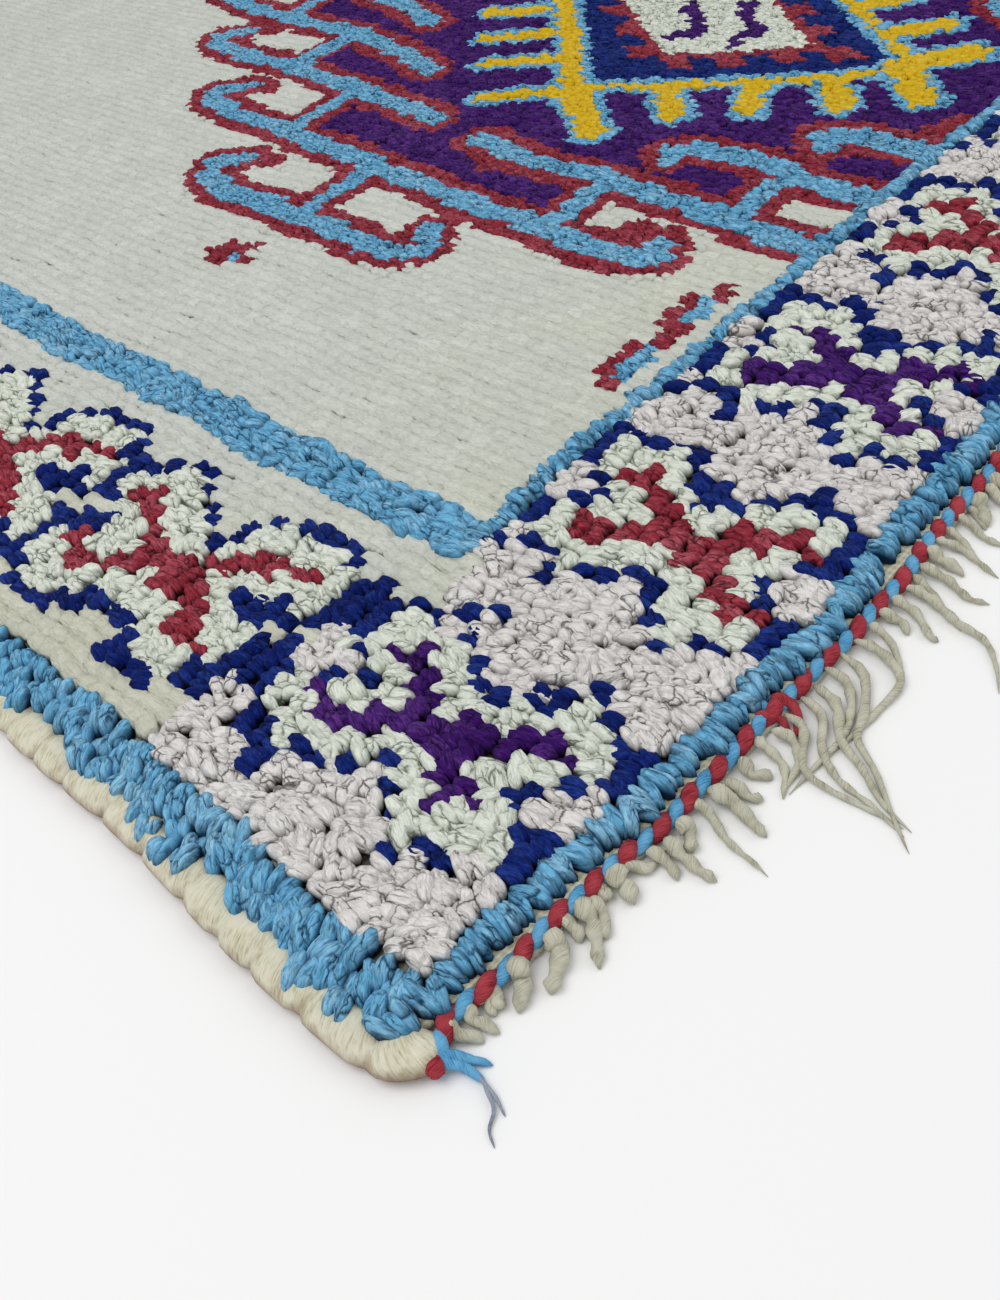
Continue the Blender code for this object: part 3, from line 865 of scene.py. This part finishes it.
# Carries a round profile along each path, at right angles to it: radius times a sum of lobes that turn
# along the way, radius * (1 - pinch + pinch * |cos(lobes / 2 * (angle - twist))|). Each end closes in a
# fan about the path's own end.
def tubes(paths, radii, around, lobes=2, pinch=0.0, twist=0.0, squash=1.0):
    count, steps = radii.shape
    run = np.gradient(paths, axis=1)
    run /= np.linalg.norm(run, axis=2, keepdims=True) + 1e-12
    up = np.array([0.0, 0.0, 1.0])
    sideways = np.cross(run, up)
    sideways /= np.linalg.norm(sideways, axis=2, keepdims=True) + 1e-12
    over = np.cross(sideways, run)
    angle = 2 * math.pi * np.arange(around) / around
    length = np.concatenate([np.zeros((count, 1)), np.cumsum(
        np.linalg.norm(np.diff(paths, axis=1), axis=2), axis=1)], axis=1)
    turned = angle[None, None] - (twist * length)[:, :, None] + np.arange(count)[:, None, None] * 1.7
    radius = radii[:, :, None] * (1 - pinch + pinch * np.abs(np.cos(lobes / 2 * turned)))
    ring = (paths[:, :, None] + sideways[:, :, None] * (radius * np.cos(angle))[..., None]
            + over[:, :, None] * (squash * radius * np.sin(angle))[..., None])
    ends = np.stack([paths[:, 0], paths[:, -1]], axis=1)
    points = np.concatenate([ring.reshape(count, -1, 3), ends], axis=1)
    here = np.arange(around)
    after = (here + 1) % around
    starts = around * np.arange(steps - 1)[:, None]
    bands = np.stack([starts + here, starts + after, starts + around + after, starts + around + here], axis=2)
    first, last = steps * around, steps * around + 1
    caps = np.concatenate([np.stack([after, here, first + 0 * here], axis=1),
                           np.stack([here, after, last - (steps - 1) * around + 0 * here], axis=1)
                           + (steps - 1) * around])
    shifts = (np.arange(count) * points.shape[1])[:, None, None]
    faces = [(part[None] + shifts).reshape(-1, part.shape[1]) for part in (bands.reshape(-1, 4), caps)]
    round1 = np.broadcast_to(here * 2 * math.pi / around, (steps - 1, around))
    round2 = round1 + 2 * math.pi / around
    girth = radii.mean(axis=1)[:, None, None]
    u = np.stack([round1, round2, round2, round1], axis=2)[None] * girth[..., None]
    low, high = length[:, :-1, None] + 0 * here, length[:, 1:, None] + 0 * here
    v = np.stack([low, low, high, high], axis=3)
    flat = np.stack([u, v], axis=4).reshape(-1, 2)
    capFlat = np.zeros((len(faces[1]) * 3, 2))
    return points.reshape(-1, 3), faces, np.concatenate([flat, capFlat])


# Yarn: fine fibres that slant along a strand, or wraps round it, with painted highlight on their crests
# and painted shade in the grooves between them. A low colour is painted shade on the lower part, near the
# floor.
def yarnLook(name, shadeColour, body, pale, slant=0.8, scale=1.0, low=None, wrapped=False):
    look = Look(name)
    around, along = look.flatPlace()
    x, y, z = look.place()
    if wrapped:
        around, along = along, around
    fine = look.noise((around + along * slant) * 2600 * scale, along * 300 * scale, 0.0, 1.0, 3.0, 0.6)
    soft = look.noise(x, y, z, 150.0, 3.0)
    lit = look.clamped((fine - 0.40) * 1.8 + (soft - 0.5) * 1.4)
    finished = look.mix(lit, colour(*body), colour(*pale))
    # painted shade in the grooves between fibres
    grooveShade = look.clamped((fine - 0.26) * 4 + (soft - 0.45) * 2)
    finished = look.mix(grooveShade, colour(*shadeColour), finished)
    # painted shade on the lower part of the yarn, near the floor
    if low:
        finished = look.mix(look.clamped(z * 210 - 0.75 + (soft - 0.5) * 0.9), colour(*low), finished)
    height = fine + soft * 0.5
    bump = look.add("ShaderNodeBump", None, {"Strength": 0.7, "Distance": 0.0006, "Height": height})
    look.surface({"Base Color": finished, "Normal": bump, **woolFinish})
    return look.material


groundSetting = {
    "top": 0.0046, "edgeTop": 0.0052, "cornerRadius": 0.012, "short": 0.0022, "across": 44, "along": 64,
}


def groundLook():
    look = Look("ground_weave")
    x, y, z = look.place()
    twill = look.wave(x * 1900 + y * 300)
    weft = look.wave(y * 2600 + look.noise(x, y, z, 60.0) * 3)
    soft = look.noise(x, y, z, 240.0, 3.0)
    height = twill * 0.5 + weft * 0.5
    # Darker where the twill and weft are low: painted shade between the threads, with random tone from the
    # soft noise.
    finished = look.mix(look.clamped(height * 0.9 + soft * 0.5), colour(158, 156, 130), colour(214, 212, 188))
    bump = look.add("ShaderNodeBump", None, {"Strength": 0.6, "Distance": 0.0008, "Height": height + soft})
    look.surface({"Base Color": finished, "Normal": bump, **woolFinish})
    return look.material


# A square corner becomes a quarter disc: past the arc's middle, (u, v) is scaled by max(u, v) / |(u, v)|.
def roundedCorners(x, y, half, long, radius):
    u, v = np.abs(x) - (half - radius), np.abs(y) - (long - radius)
    inCorner = (u > 0) & (v > 0)
    scale = np.where(inCorner, np.maximum(u, v) / np.maximum(np.hypot(u, v), 1e-9), 1)
    newX = np.where(inCorner, half - radius + u * scale, np.abs(x)) * np.sign(x)
    newY = np.where(inCorner, long - radius + v * scale, np.abs(y)) * np.sign(y)
    return newX, newY


# Stations crowd towards both ends as sin of an even parameter.
def crowded(half, count):
    return half * np.sin(np.linspace(-math.pi / 2, math.pi / 2, count))


# The woven ground is a slab: one grid for its top, the same grid for its flat underside, and a wall.
def makeGround():
    g = groundSetting
    long = halfLong - g["short"]
    x, y = np.meshgrid(crowded(halfWide, g["across"]), crowded(long, g["along"]))
    inward = np.minimum(halfWide - np.abs(x), long - np.abs(y))
    top = g["edgeTop"] + (g["top"] - g["edgeTop"]) * np.clip(inward / 0.01, 0, 1)
    top = top + 0.0003 * np.sin(x * 90) * np.sin(y * 70)
    roundX, roundY = roundedCorners(x, y, halfWide, long, g["cornerRadius"])
    newX, newY = laid(roundX, roundY)
    upper = np.stack([newX, newY, top], axis=2).reshape(-1, 3)
    points = np.concatenate([upper, upper * (1, 1, 0)])
    grid = np.arange(x.size).reshape(x.shape)
    a, b, c, d = grid[:-1, :-1], grid[:-1, 1:], grid[1:, 1:], grid[1:, :-1]
    quads = np.stack([a, b, c, d], axis=2).reshape(-1, 4)
    rim = np.concatenate([grid[0, :-1], grid[:-1, -1], grid[-1, :0:-1], grid[:0:-1, 0]])
    after = np.roll(rim, -1)
    wall = np.stack([after, rim, rim + x.size, after + x.size], axis=1)
    piece = addMesh("ground_weave", points, [quads, quads[:, ::-1] + x.size, wall], groundLook())
    keep(piece)
    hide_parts("rug_cloth")
    print("ground woven")
    return piece


selvedgeSetting = {
    "wide": 0.0172, "high": 0.0098, "reach": 0.0132, "around": 16, "turn": 84, "pinch": 0.17,
    "bulge": 0.023, "step": 0.0036, "pulls": 130, "firstPull": -1.15, "pullHalf": 0.003,
    "ends": (0.35, 0.7, 0.92),  # thickness of the first rings and, the other way, the last
}


# Each selvedge is an oval rope carried down the side and round both corners, drawn in by
# exp(-(d / 3 mm)^2) at uneven places where its binding is pulled tight.
def makeSelvedges():
    s = selvedgeSetting
    chance = np.random.default_rng(5)
    # The selvedge's low colour is painted shade at the rope's foot.
    looks = yarnLook("selvedge_binding", (168, 158, 128), (207, 203, 180), (228, 226, 208), slant=0.35,
                     scale=0.55, low=(138, 110, 92), wrapped=True)
    radius = groundSetting["cornerRadius"] + s["reach"] - s["wide"] / 2
    centreX, centreY = halfWide - groundSetting["cornerRadius"], halfLong - groundSetting["cornerRadius"]
    for side, name in ((-1, "left"), (1, "right")):
        bend = np.radians(np.linspace(s["turn"], 0, 12))
        arcX, arcY = centreX + radius * np.cos(bend), centreY + radius * np.sin(bend)
        straight = np.linspace(centreY, -centreY, int(2 * centreY / s["step"]))[1:-1]
        x = np.concatenate([arcX, np.full(len(straight), centreX + radius), arcX[::-1]])
        y = np.concatenate([arcY, straight, -arcY[::-1]])
        x, y = laid(side * x, y)
        tight = np.cumsum(chance.uniform(0.7, 1.3, s["pulls"]) * s["bulge"]) + s["firstPull"]
        apart = np.abs(y[:, None] - tight[None]).min(axis=1)
        swell = 1 - s["pinch"] * np.exp(-(apart / s["pullHalf"]) ** 2) + 0.05 * np.sin(y * 47 + side)
        x = x + side * 0.0007 * (swell - 1) / s["pinch"]
        ends = np.ones(len(x))
        ends[:3], ends[-3:] = s["ends"], s["ends"][::-1]
        radii = s["wide"] / 2 * swell * ends
        squash = s["high"] / s["wide"]
        path = np.stack([x, y, radii * squash + 0.0001], axis=1)
        points, faces, flat = tubes(path[None], radii[None], s["around"], squash=squash)
        piece = addMesh("selvedge_binding_" + name, points, faces, looks, flat=flat)
        keep(piece)
        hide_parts("selvedge_" + name)
    print("selvedges bound")


cordSetting = {
    "out": 0.0002,  # its middle past the flat end of the cloth
    "pitch": 0.0160, "helix": 0.0013, "thick": 0.0046, "swell": 0.36, "stepsPerTurn": 10, "around": 7,
    "reach": 0.6500,
    "plies": {"red": 1.05, "blue": 0.86},  # share of the thickness
    "cornerRun": ((-0.6545, -0.9715), (-0.6595, -0.9757), (-0.6650, -0.9785)),  # the near cord's last places
}


# Two plies wind round one line: middle + helix * (cos, sin) of the turn, half a turn apart, each ply
# fattest where it passes over the top.
def makeCords():
    c = cordSetting
    looks = {
        "red": yarnLook("cord_red", (84, 18, 28), (160, 50, 62), (192, 88, 94), slant=1.1),
        "blue": yarnLook("cord_blue", (38, 96, 138), (92, 164, 210), (136, 194, 226), slant=1.1),
    }
    for end, name in ((-1, "near"), (1, "far")):
        x = np.linspace(c["reach"], -c["reach"], 500)
        middle = np.stack([x, end * (halfLong + c["out"] - endWave(x, end))], axis=1)
        if end < 0:
            middle = np.concatenate([middle, np.array(c["cornerRun"])])
        length = np.concatenate([[0], np.cumsum(np.hypot(*np.diff(middle, axis=0).T))])
        steps = int(length[-1] / c["pitch"] * c["stepsPerTurn"])
        at = np.linspace(0, length[-1], steps)
        line = np.stack([np.interp(at, length, middle[:, 0]), np.interp(at, length, middle[:, 1])], axis=1)
        line[:, 1] += 0.0006 * np.sin(line[:, 0] * 61) + 0.0004 * np.sin(line[:, 0] * 173)
        beat = 2 * math.pi * at / c["pitch"] + 0.5 * np.sin(line[:, 0] * 40)
        for ply, yarn in enumerate(c["plies"]):
            turn = beat + math.pi * ply
            path = np.stack([line[:, 0], line[:, 1] + c["helix"] * np.cos(turn),
                             c["thick"] / 2 + c["helix"] * (1 + np.sin(turn)) + 0.0002], axis=1)
            thick = c["thick"] / 2 * (1 + c["swell"] * np.sin(turn)) * c["plies"][yarn]
            thick[[0, -1]] *= 0.4
            points, faces, flat = tubes(path[None], thick[None], c["around"])
            piece = addMesh(f"cord_{name}_{yarn}", points, faces, looks[yarn], flat=flat)
            keep(piece)
            if yarn == "red":
                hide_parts("end_cord_" + name)
    print("cords twined")
    return looks


# The fringe of the near end by the corner, strand by strand, in millimetres: thickness, then places
nearStrands = (
    (4.4, (-651.6, -968.0), (-649.4, -974.1), (-646.7, -981.5)),
    (3.9, (-641.6, -970.6), (-643.3, -976.2), (-640.6, -982.9)),
    (3.4, (-638.2, -970.6), (-635.9, -973.5), (-637.9, -978.2)),
    (3.6, (-631.5, -970.6), (-633.9, -976.2), (-634.6, -978.2)),
    (5.7, (-620.8, -972.0), (-624.5, -978.2), (-631.9, -983.1)),
    (6.0, (-608.1, -974.0), (-609.1, -980.2), (-615.8, -984.2), (-621.8, -986.9)),
    (4.4, (-602.0, -974.0), (-599.7, -977.5), (-602.3, -982.2)),
    (5.7, (-593.3, -972.7), (-593.6, -979.5), (-599.0, -986.2), (-605.0, -992.9)),
    (4.2, (-589.3, -974.7), (-590.9, -982.2), (-596.3, -988.2)),
    (3.9, (-583.9, -975.3), (-584.9, -978.8)),
    (5.7, (-576.6, -975.3), (-578.2, -980.2), (-580.2, -986.5)),
    (3.6, (-571.9, -975.3), (-569.4, -980.9), (-564.0, -982.9)),
    (3.9, (-564.5, -978.7), (-562.0, -984.9), (-565.4, -992.3)),
    (4.4, (-556.5, -980.0), (-557.3, -987.6), (-558.9, -995.6), (-557.3, -1002.4)),
    (4.7, (-549.1, -980.0), (-549.3, -984.9), (-554.0, -989.6)),
    (4.2, (-539.0, -978.7), (-539.2, -986.2), (-543.9, -998.3), (-546.6, -1014.5)),
    (5.7, (-532.3, -980.0), (-530.4, -987.6), (-533.1, -997.0), (-533.8, -1005.0)),
    (3.9, (-524.3, -981.4), (-525.1, -988.9), (-523.1, -995.6)),
    (3.9, (-515.6, -980.0), (-516.3, -986.2), (-513.7, -992.9)),
    (3.6, (-504.9, -978.7), (-504.9, -986.2), (-508.9, -994.3), (-517.7, -1000.3)),
    (3.9, (-497.5, -981.4), (-496.9, -988.9), (-503.6, -996.3), (-517.0, -999.0)),
    (3.6, (-489.5, -981.4), (-491.5, -990.3), (-503.6, -998.3), (-506.3, -1009.1), (-506.3, -1025.2),
     (-505.6, -1038.6)),
    (3.9, (-480.1, -981.4), (-482.1, -991.6), (-494.2, -999.7), (-502.2, -1011.8), (-504.2, -1026.5),
     (-507.6, -1040.0)),
    (4.2, (-472.0, -981.4), (-475.4, -992.9), (-487.4, -1002.4), (-492.8, -1014.5), (-500.9, -1027.9),
     (-505.6, -1041.3)),
    (3.9, (-463.3, -980.0), (-465.9, -991.6), (-480.7, -1001.0), (-499.5, -1001.7), (-515.7, -1001.0)),
    (3.9, (-454.6, -980.0), (-457.9, -992.9), (-472.7, -1002.4), (-483.4, -1006.4), (-491.5, -1018.5),
     (-503.6, -1033.3), (-512.3, -1044.7)),
    (3.9, (-445.3, -980.0), (-445.1, -991.6), (-452.5, -1004.4), (-467.3, -1005.0), (-483.4, -1003.7),
     (-494.2, -1001.0)),
    (3.4, (-435.9, -978.7), (-438.4, -991.6), (-447.1, -1001.0), (-455.9, -1005.7)),
    (3.4, (-427.8, -978.7), (-427.0, -987.6), (-429.7, -993.6)),
    (3.6, (-419.1, -978.7), (-420.9, -990.3), (-426.3, -999.7), (-427.6, -1004.4)),
    (3.9, (-411.8, -978.7), (-412.2, -991.6), (-416.2, -1005.0), (-418.2, -1017.1), (-427.0, -1026.5),
     (-437.7, -1033.9)),
    (3.4, (-405.1, -978.7), (-407.5, -988.9), (-414.2, -999.7), (-417.6, -1007.7)),
    (3.9, (-398.4, -977.3), (-399.4, -990.3), (-402.1, -1001.0), (-400.8, -1009.7)),
    (4.4, (-391.7, -977.3), (-390.7, -984.9), (-392.7, -994.3)),
    (3.4, (-383.6, -974.7), (-380.6, -984.9), (-384.0, -995.6), (-386.0, -1005.0)),
    (3.4, (-375.6, -972.0), (-375.9, -982.2), (-381.3, -992.9)),
    (3.4, (-367.5, -970.6), (-366.5, -980.9), (-370.5, -991.6), (-370.5, -999.7)),
    (3.4, (-359.5, -969.3), (-358.4, -976.8), (-364.5, -987.6)),
)
fringeSetting = {
    "spacing": 0.0070, "length": (0.010, 0.030), "thick": (0.0042, 0.0060), "lean": 0.35,
    "around": 10, "steps": 18, "plainAround": 6, "plainSteps": 8, "height": 0.0030,
    "rootOut": 0.0026,  # past the cord's middle
    "nearThick": 1.2,  # the listed strands are made this much thicker
    "charted": -0.352,  # the near end's strands are listed up to here
    # where long strands come out together: from the cloth's edge, half the group's width, length
    "longGroups": (
        (0.176, 0.030, 0.0560), (0.252, 0.016, 0.0420), (0.620, 0.022, 0.0400), (1.050, 0.028, 0.0460),
    ),
}


# The warp ends under the cord, as one flat rope that follows it.
def stripUnder(end, out):
    x = np.linspace(-cordSetting["reach"] + 0.002, cordSetting["reach"] - 0.002, 260)
    y = end * (halfLong + out - endWave(x, end))
    radii = 0.0016 + 0.0003 * np.sin(x * 900)
    path = np.stack([x, y, radii + 0.0001], axis=1)
    return tubes(path[None], radii[None], 6)


# Strands along paths that are listed or drawn by chance, twisted from two plies. With t from root to tip
# they thin as 1 - a t^b, the longer ones more and sooner, swell at a knuckle by the root, and come down
# to the floor as (1 - t) exp(-3t). A flat band lies under their roots.
def makeFringe():
    f = fringeSetting
    chance = np.random.default_rng(9)
    looks = yarnLook("fringe_yarn", (128, 124, 100), (190, 188, 168), (214, 212, 196), slant=1.4, scale=0.8)
    rootOut = cordSetting["out"] + f["rootOut"]
    tables = {"near": [], "far": []}
    for thick, *places in nearStrands:
        tables["near"].append((f["nearThick"] * thick / 1000, np.array(places) / 1000))
    for end, name in ((-1, "near"), (1, "far")):
        first = f["charted"] if end < 0 else -cordSetting["reach"] + 0.004
        for x in np.arange(first, cordSetting["reach"] - 0.004, f["spacing"]):
            x += chance.normal(0, 0.0012)
            root = end * (halfLong + rootOut - float(endWave(np.array(x), end)))
            length = f["length"][0] + (f["length"][1] - f["length"][0]) * chance.uniform() ** 2.2
            for across, half, longest in f["longGroups"]:
                nearness = 1 - abs(halfWide - end * x - across) / half
                if nearness > 0:
                    length = max(length, longest * (0.62 + 0.38 * nearness))
            sweep = end * f["lean"] + chance.normal(0, 0.35)
            sway = chance.normal(0, 0.25)
            places = [(x, root), (x + length * (0.5 * sweep + 0.3 * sway), root + end * length * 0.5),
                      (x + length * sweep, root + end * length)]
            tables[name].append((chance.uniform(*f["thick"]), np.array(places)))
    for name, end in (("near", -1), ("far", 1)):
        parts, start = [], 0
        detailed = np.array([end < 0 and places[0][0] < -0.30 for thick, places in tables[name]])
        finishes = ((True, f["around"], f["steps"]), (False, f["plainAround"], f["plainSteps"]))
        for rich, around, steps in finishes:
            chosen = [strand for strand, isRich in zip(tables[name], detailed) if isRich == rich]
            if not chosen:
                continue
            flatPaths = np.array([smoothPath(places, steps) for thick, places in chosen])
            thick = np.array([thick for thick, places in chosen])[:, None]
            t = np.linspace(0, 1, steps)[None]
            length = np.linalg.norm(np.diff(flatPaths, axis=1), axis=2).sum(axis=1)[:, None]
            long = np.clip((length - 0.016) / 0.02, 0, 1)
            wander = 0.0005 * np.sin(t * 9 + np.arange(len(chosen))[:, None] * 2.1)
            knuckle = 1 + 0.15 * np.sin(t * length * 800 + np.arange(len(chosen))[:, None] * 1.3)
            knuckle = knuckle + 0.22 * np.exp(-((t * length - 0.0035) / 0.0022) ** 2)
            taper = 1 - (0.22 + 0.55 * long) * t ** (2.2 - 0.9 * long)
            ends = np.minimum(1, 0.35 + 5 * t) * np.minimum(1, 0.25 + 7 * (1 - t))
            radii = thick / 2 * knuckle * taper * ends
            lift = np.exp(-t * 3.0) * f["height"]
            z = radii * 0.9 + lift * (1 - t) + 0.0001
            paths = np.concatenate([flatPaths + wander[..., None] * (1, 0.4), z[..., None]], axis=2)
            points, faces, flat = tubes(paths, radii, around, 2, 0.26, 420.0, 0.9)
            parts.append((points, [part + start for part in faces], flat))
            start += len(points)
        strip, stripFaces, stripFlat = stripUnder(end, rootOut - 0.0012)
        parts.append((strip, [part + start for part in stripFaces], stripFlat))
        faces = [part for points, made, flat in parts for part in made]
        points = np.concatenate([points for points, made, flat in parts])
        flat = np.concatenate([flat for points, made, flat in parts])
        piece = addMesh(f"fringe_strands_{name}", points, faces, looks, flat=flat)
        keep(piece)
        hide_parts("fringe_" + name)
        print(f"  fringe_{name}: {len(tables[name])} strands, {triangleCount(faces)} triangles")
    print("fringe laid")


# Loose yarn at the near left corner and the snag in the cord: yarn, thickness, height at the root, and
# places, in millimetres
looseYarns = (
    ("blue", 4.6, 4.5, ((-659.0, -975.0), (-654.5, -981.0), (-649.8, -988.6))),
    ("blue", 4.4, 4.0, ((-661.0, -976.0), (-656.5, -983.0), (-655.2, -991.5))),
    ("blue", 3.2, 6.2, ((-655.0, -973.5), (-658.5, -978.5), (-654.8, -984.0))),
    ("grey", 1.7, 2.2, ((-655.4, -988.0), (-656.7, -996.5), (-658.9, -1002.6))),
    ("grey", 1.5, 1.9, ((-655.6, -990.0), (-659.5, -998.6), (-664.9, -1001.9), (-667.6, -1006.6))),
)
snagYarns = (
    ("red", 5.0, 6.5, ((-488.5, -972.5), (-484.6, -980.0), (-488.0, -985.4), (-495.0, -989.0))),
    ("red", 3.6, 7.0, ((-497.5, -974.0), (-492.0, -981.0), (-494.5, -986.5))),
    ("blue", 4.2, 8.6, ((-493.5, -967.7), (-491.0, -974.0), (-490.8, -978.4), (-494.8, -980.4))),
)


# Strands that come down from their root's height to the floor as (1 - t)^2.
def makeLooseYarn(cordLooks):
    looks = dict(cordLooks)
    looks["grey"] = yarnLook("tail_grey", (92, 98, 112), (142, 150, 164), (176, 184, 196), slant=1.0)
    for group, table, slotName in (("tail", looseYarns, "tail_yarn"), ("snag", snagYarns, "twined_cord")):
        for yarn in dict.fromkeys(row[0] for row in table):
            paths, radii = [], []
            for row in table:
                if row[0] != yarn:
                    continue
                t = np.linspace(0, 1, 16)
                ends = np.minimum(1, 0.3 + 6 * t) * np.minimum(1, 0.2 + 8 * (1 - t))
                radius = row[1] / 2000 * (1 - 0.55 * t ** 2) * ends
                z = radius + 0.0001 + (row[2] / 1000 - row[1] / 4000) * (1 - t) ** 2
                paths.append(np.column_stack([smoothPath(np.array(row[3]) / 1000, 16), z]))
                radii.append(radius)
            points, faces, flat = tubes(np.array(paths), np.array(radii), 10, 2, 0.28, 380.0)
            piece = keep(addMesh(f"{group}_{yarn}", points, faces, looks[yarn], flat=flat))
            if group == "tail" and yarn == "blue":
                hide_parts("corner_tail")
    print("loose yarn laid")


ground = makeGround()
makeSelvedges()
cordLooks = makeCords()
makeFringe()
makeLooseYarn(cordLooks)

floorSetting = {"size": 30.0, "colour": (244, 244, 244)}


def addFloor():
    size = floorSetting["size"]
    corners = np.array([(-size, -size, 0), (size, -size, 0), (size, size, 0), (-size, size, 0)], float)
    look = Look("floor")
    look.surface({"Base Color": colour(*floorSetting["colour"]), "Roughness": 0.9, "Specular IOR Level": 0.1})
    floor = addMesh("floor", corners - (0, 0, 0.0002), [np.array([[0, 1, 2, 3]])], look.material)


studio = {
    "around": 0.60,  # strength of the even light from all round
    "aim": (-0.4, -0.7, 0.0),
    "panels": (  # two large soft ones: name, place, size, power
        ("keyPanel", (-1.3, -0.4, 2.5), 2.0, 30.0),
        ("fillPanel", (1.6, -2.2, 2.4), 2.6, 16.0),
    ),
}


def addLights():
    world = bpy.data.worlds.new("studio")
    bpy.context.scene.world = world
    world.use_nodes = True
    back = world.node_tree.nodes["Background"]
    back.inputs["Color"].default_value = (1, 1, 1, 1)
    back.inputs["Strength"].default_value = studio["around"]
    for name, place, size, power in studio["panels"]:
        data = bpy.data.lights.new(name, "AREA")
        data.shape, data.size, data.energy = "SQUARE", size, power
        made = bpy.data.objects.new(name, data)
        bpy.context.scene.collection.objects.link(made)
        made.location = place
        aim = np.array(studio["aim"]) - place
        away = -aim / np.linalg.norm(aim)
        made.rotation_euler = (math.acos(away[2]), 0, math.atan2(away[1], away[0]) + math.pi / 2)


addFloor()
addLights()
bpy.context.scene.view_settings.view_transform = "Standard"
print("stage set")
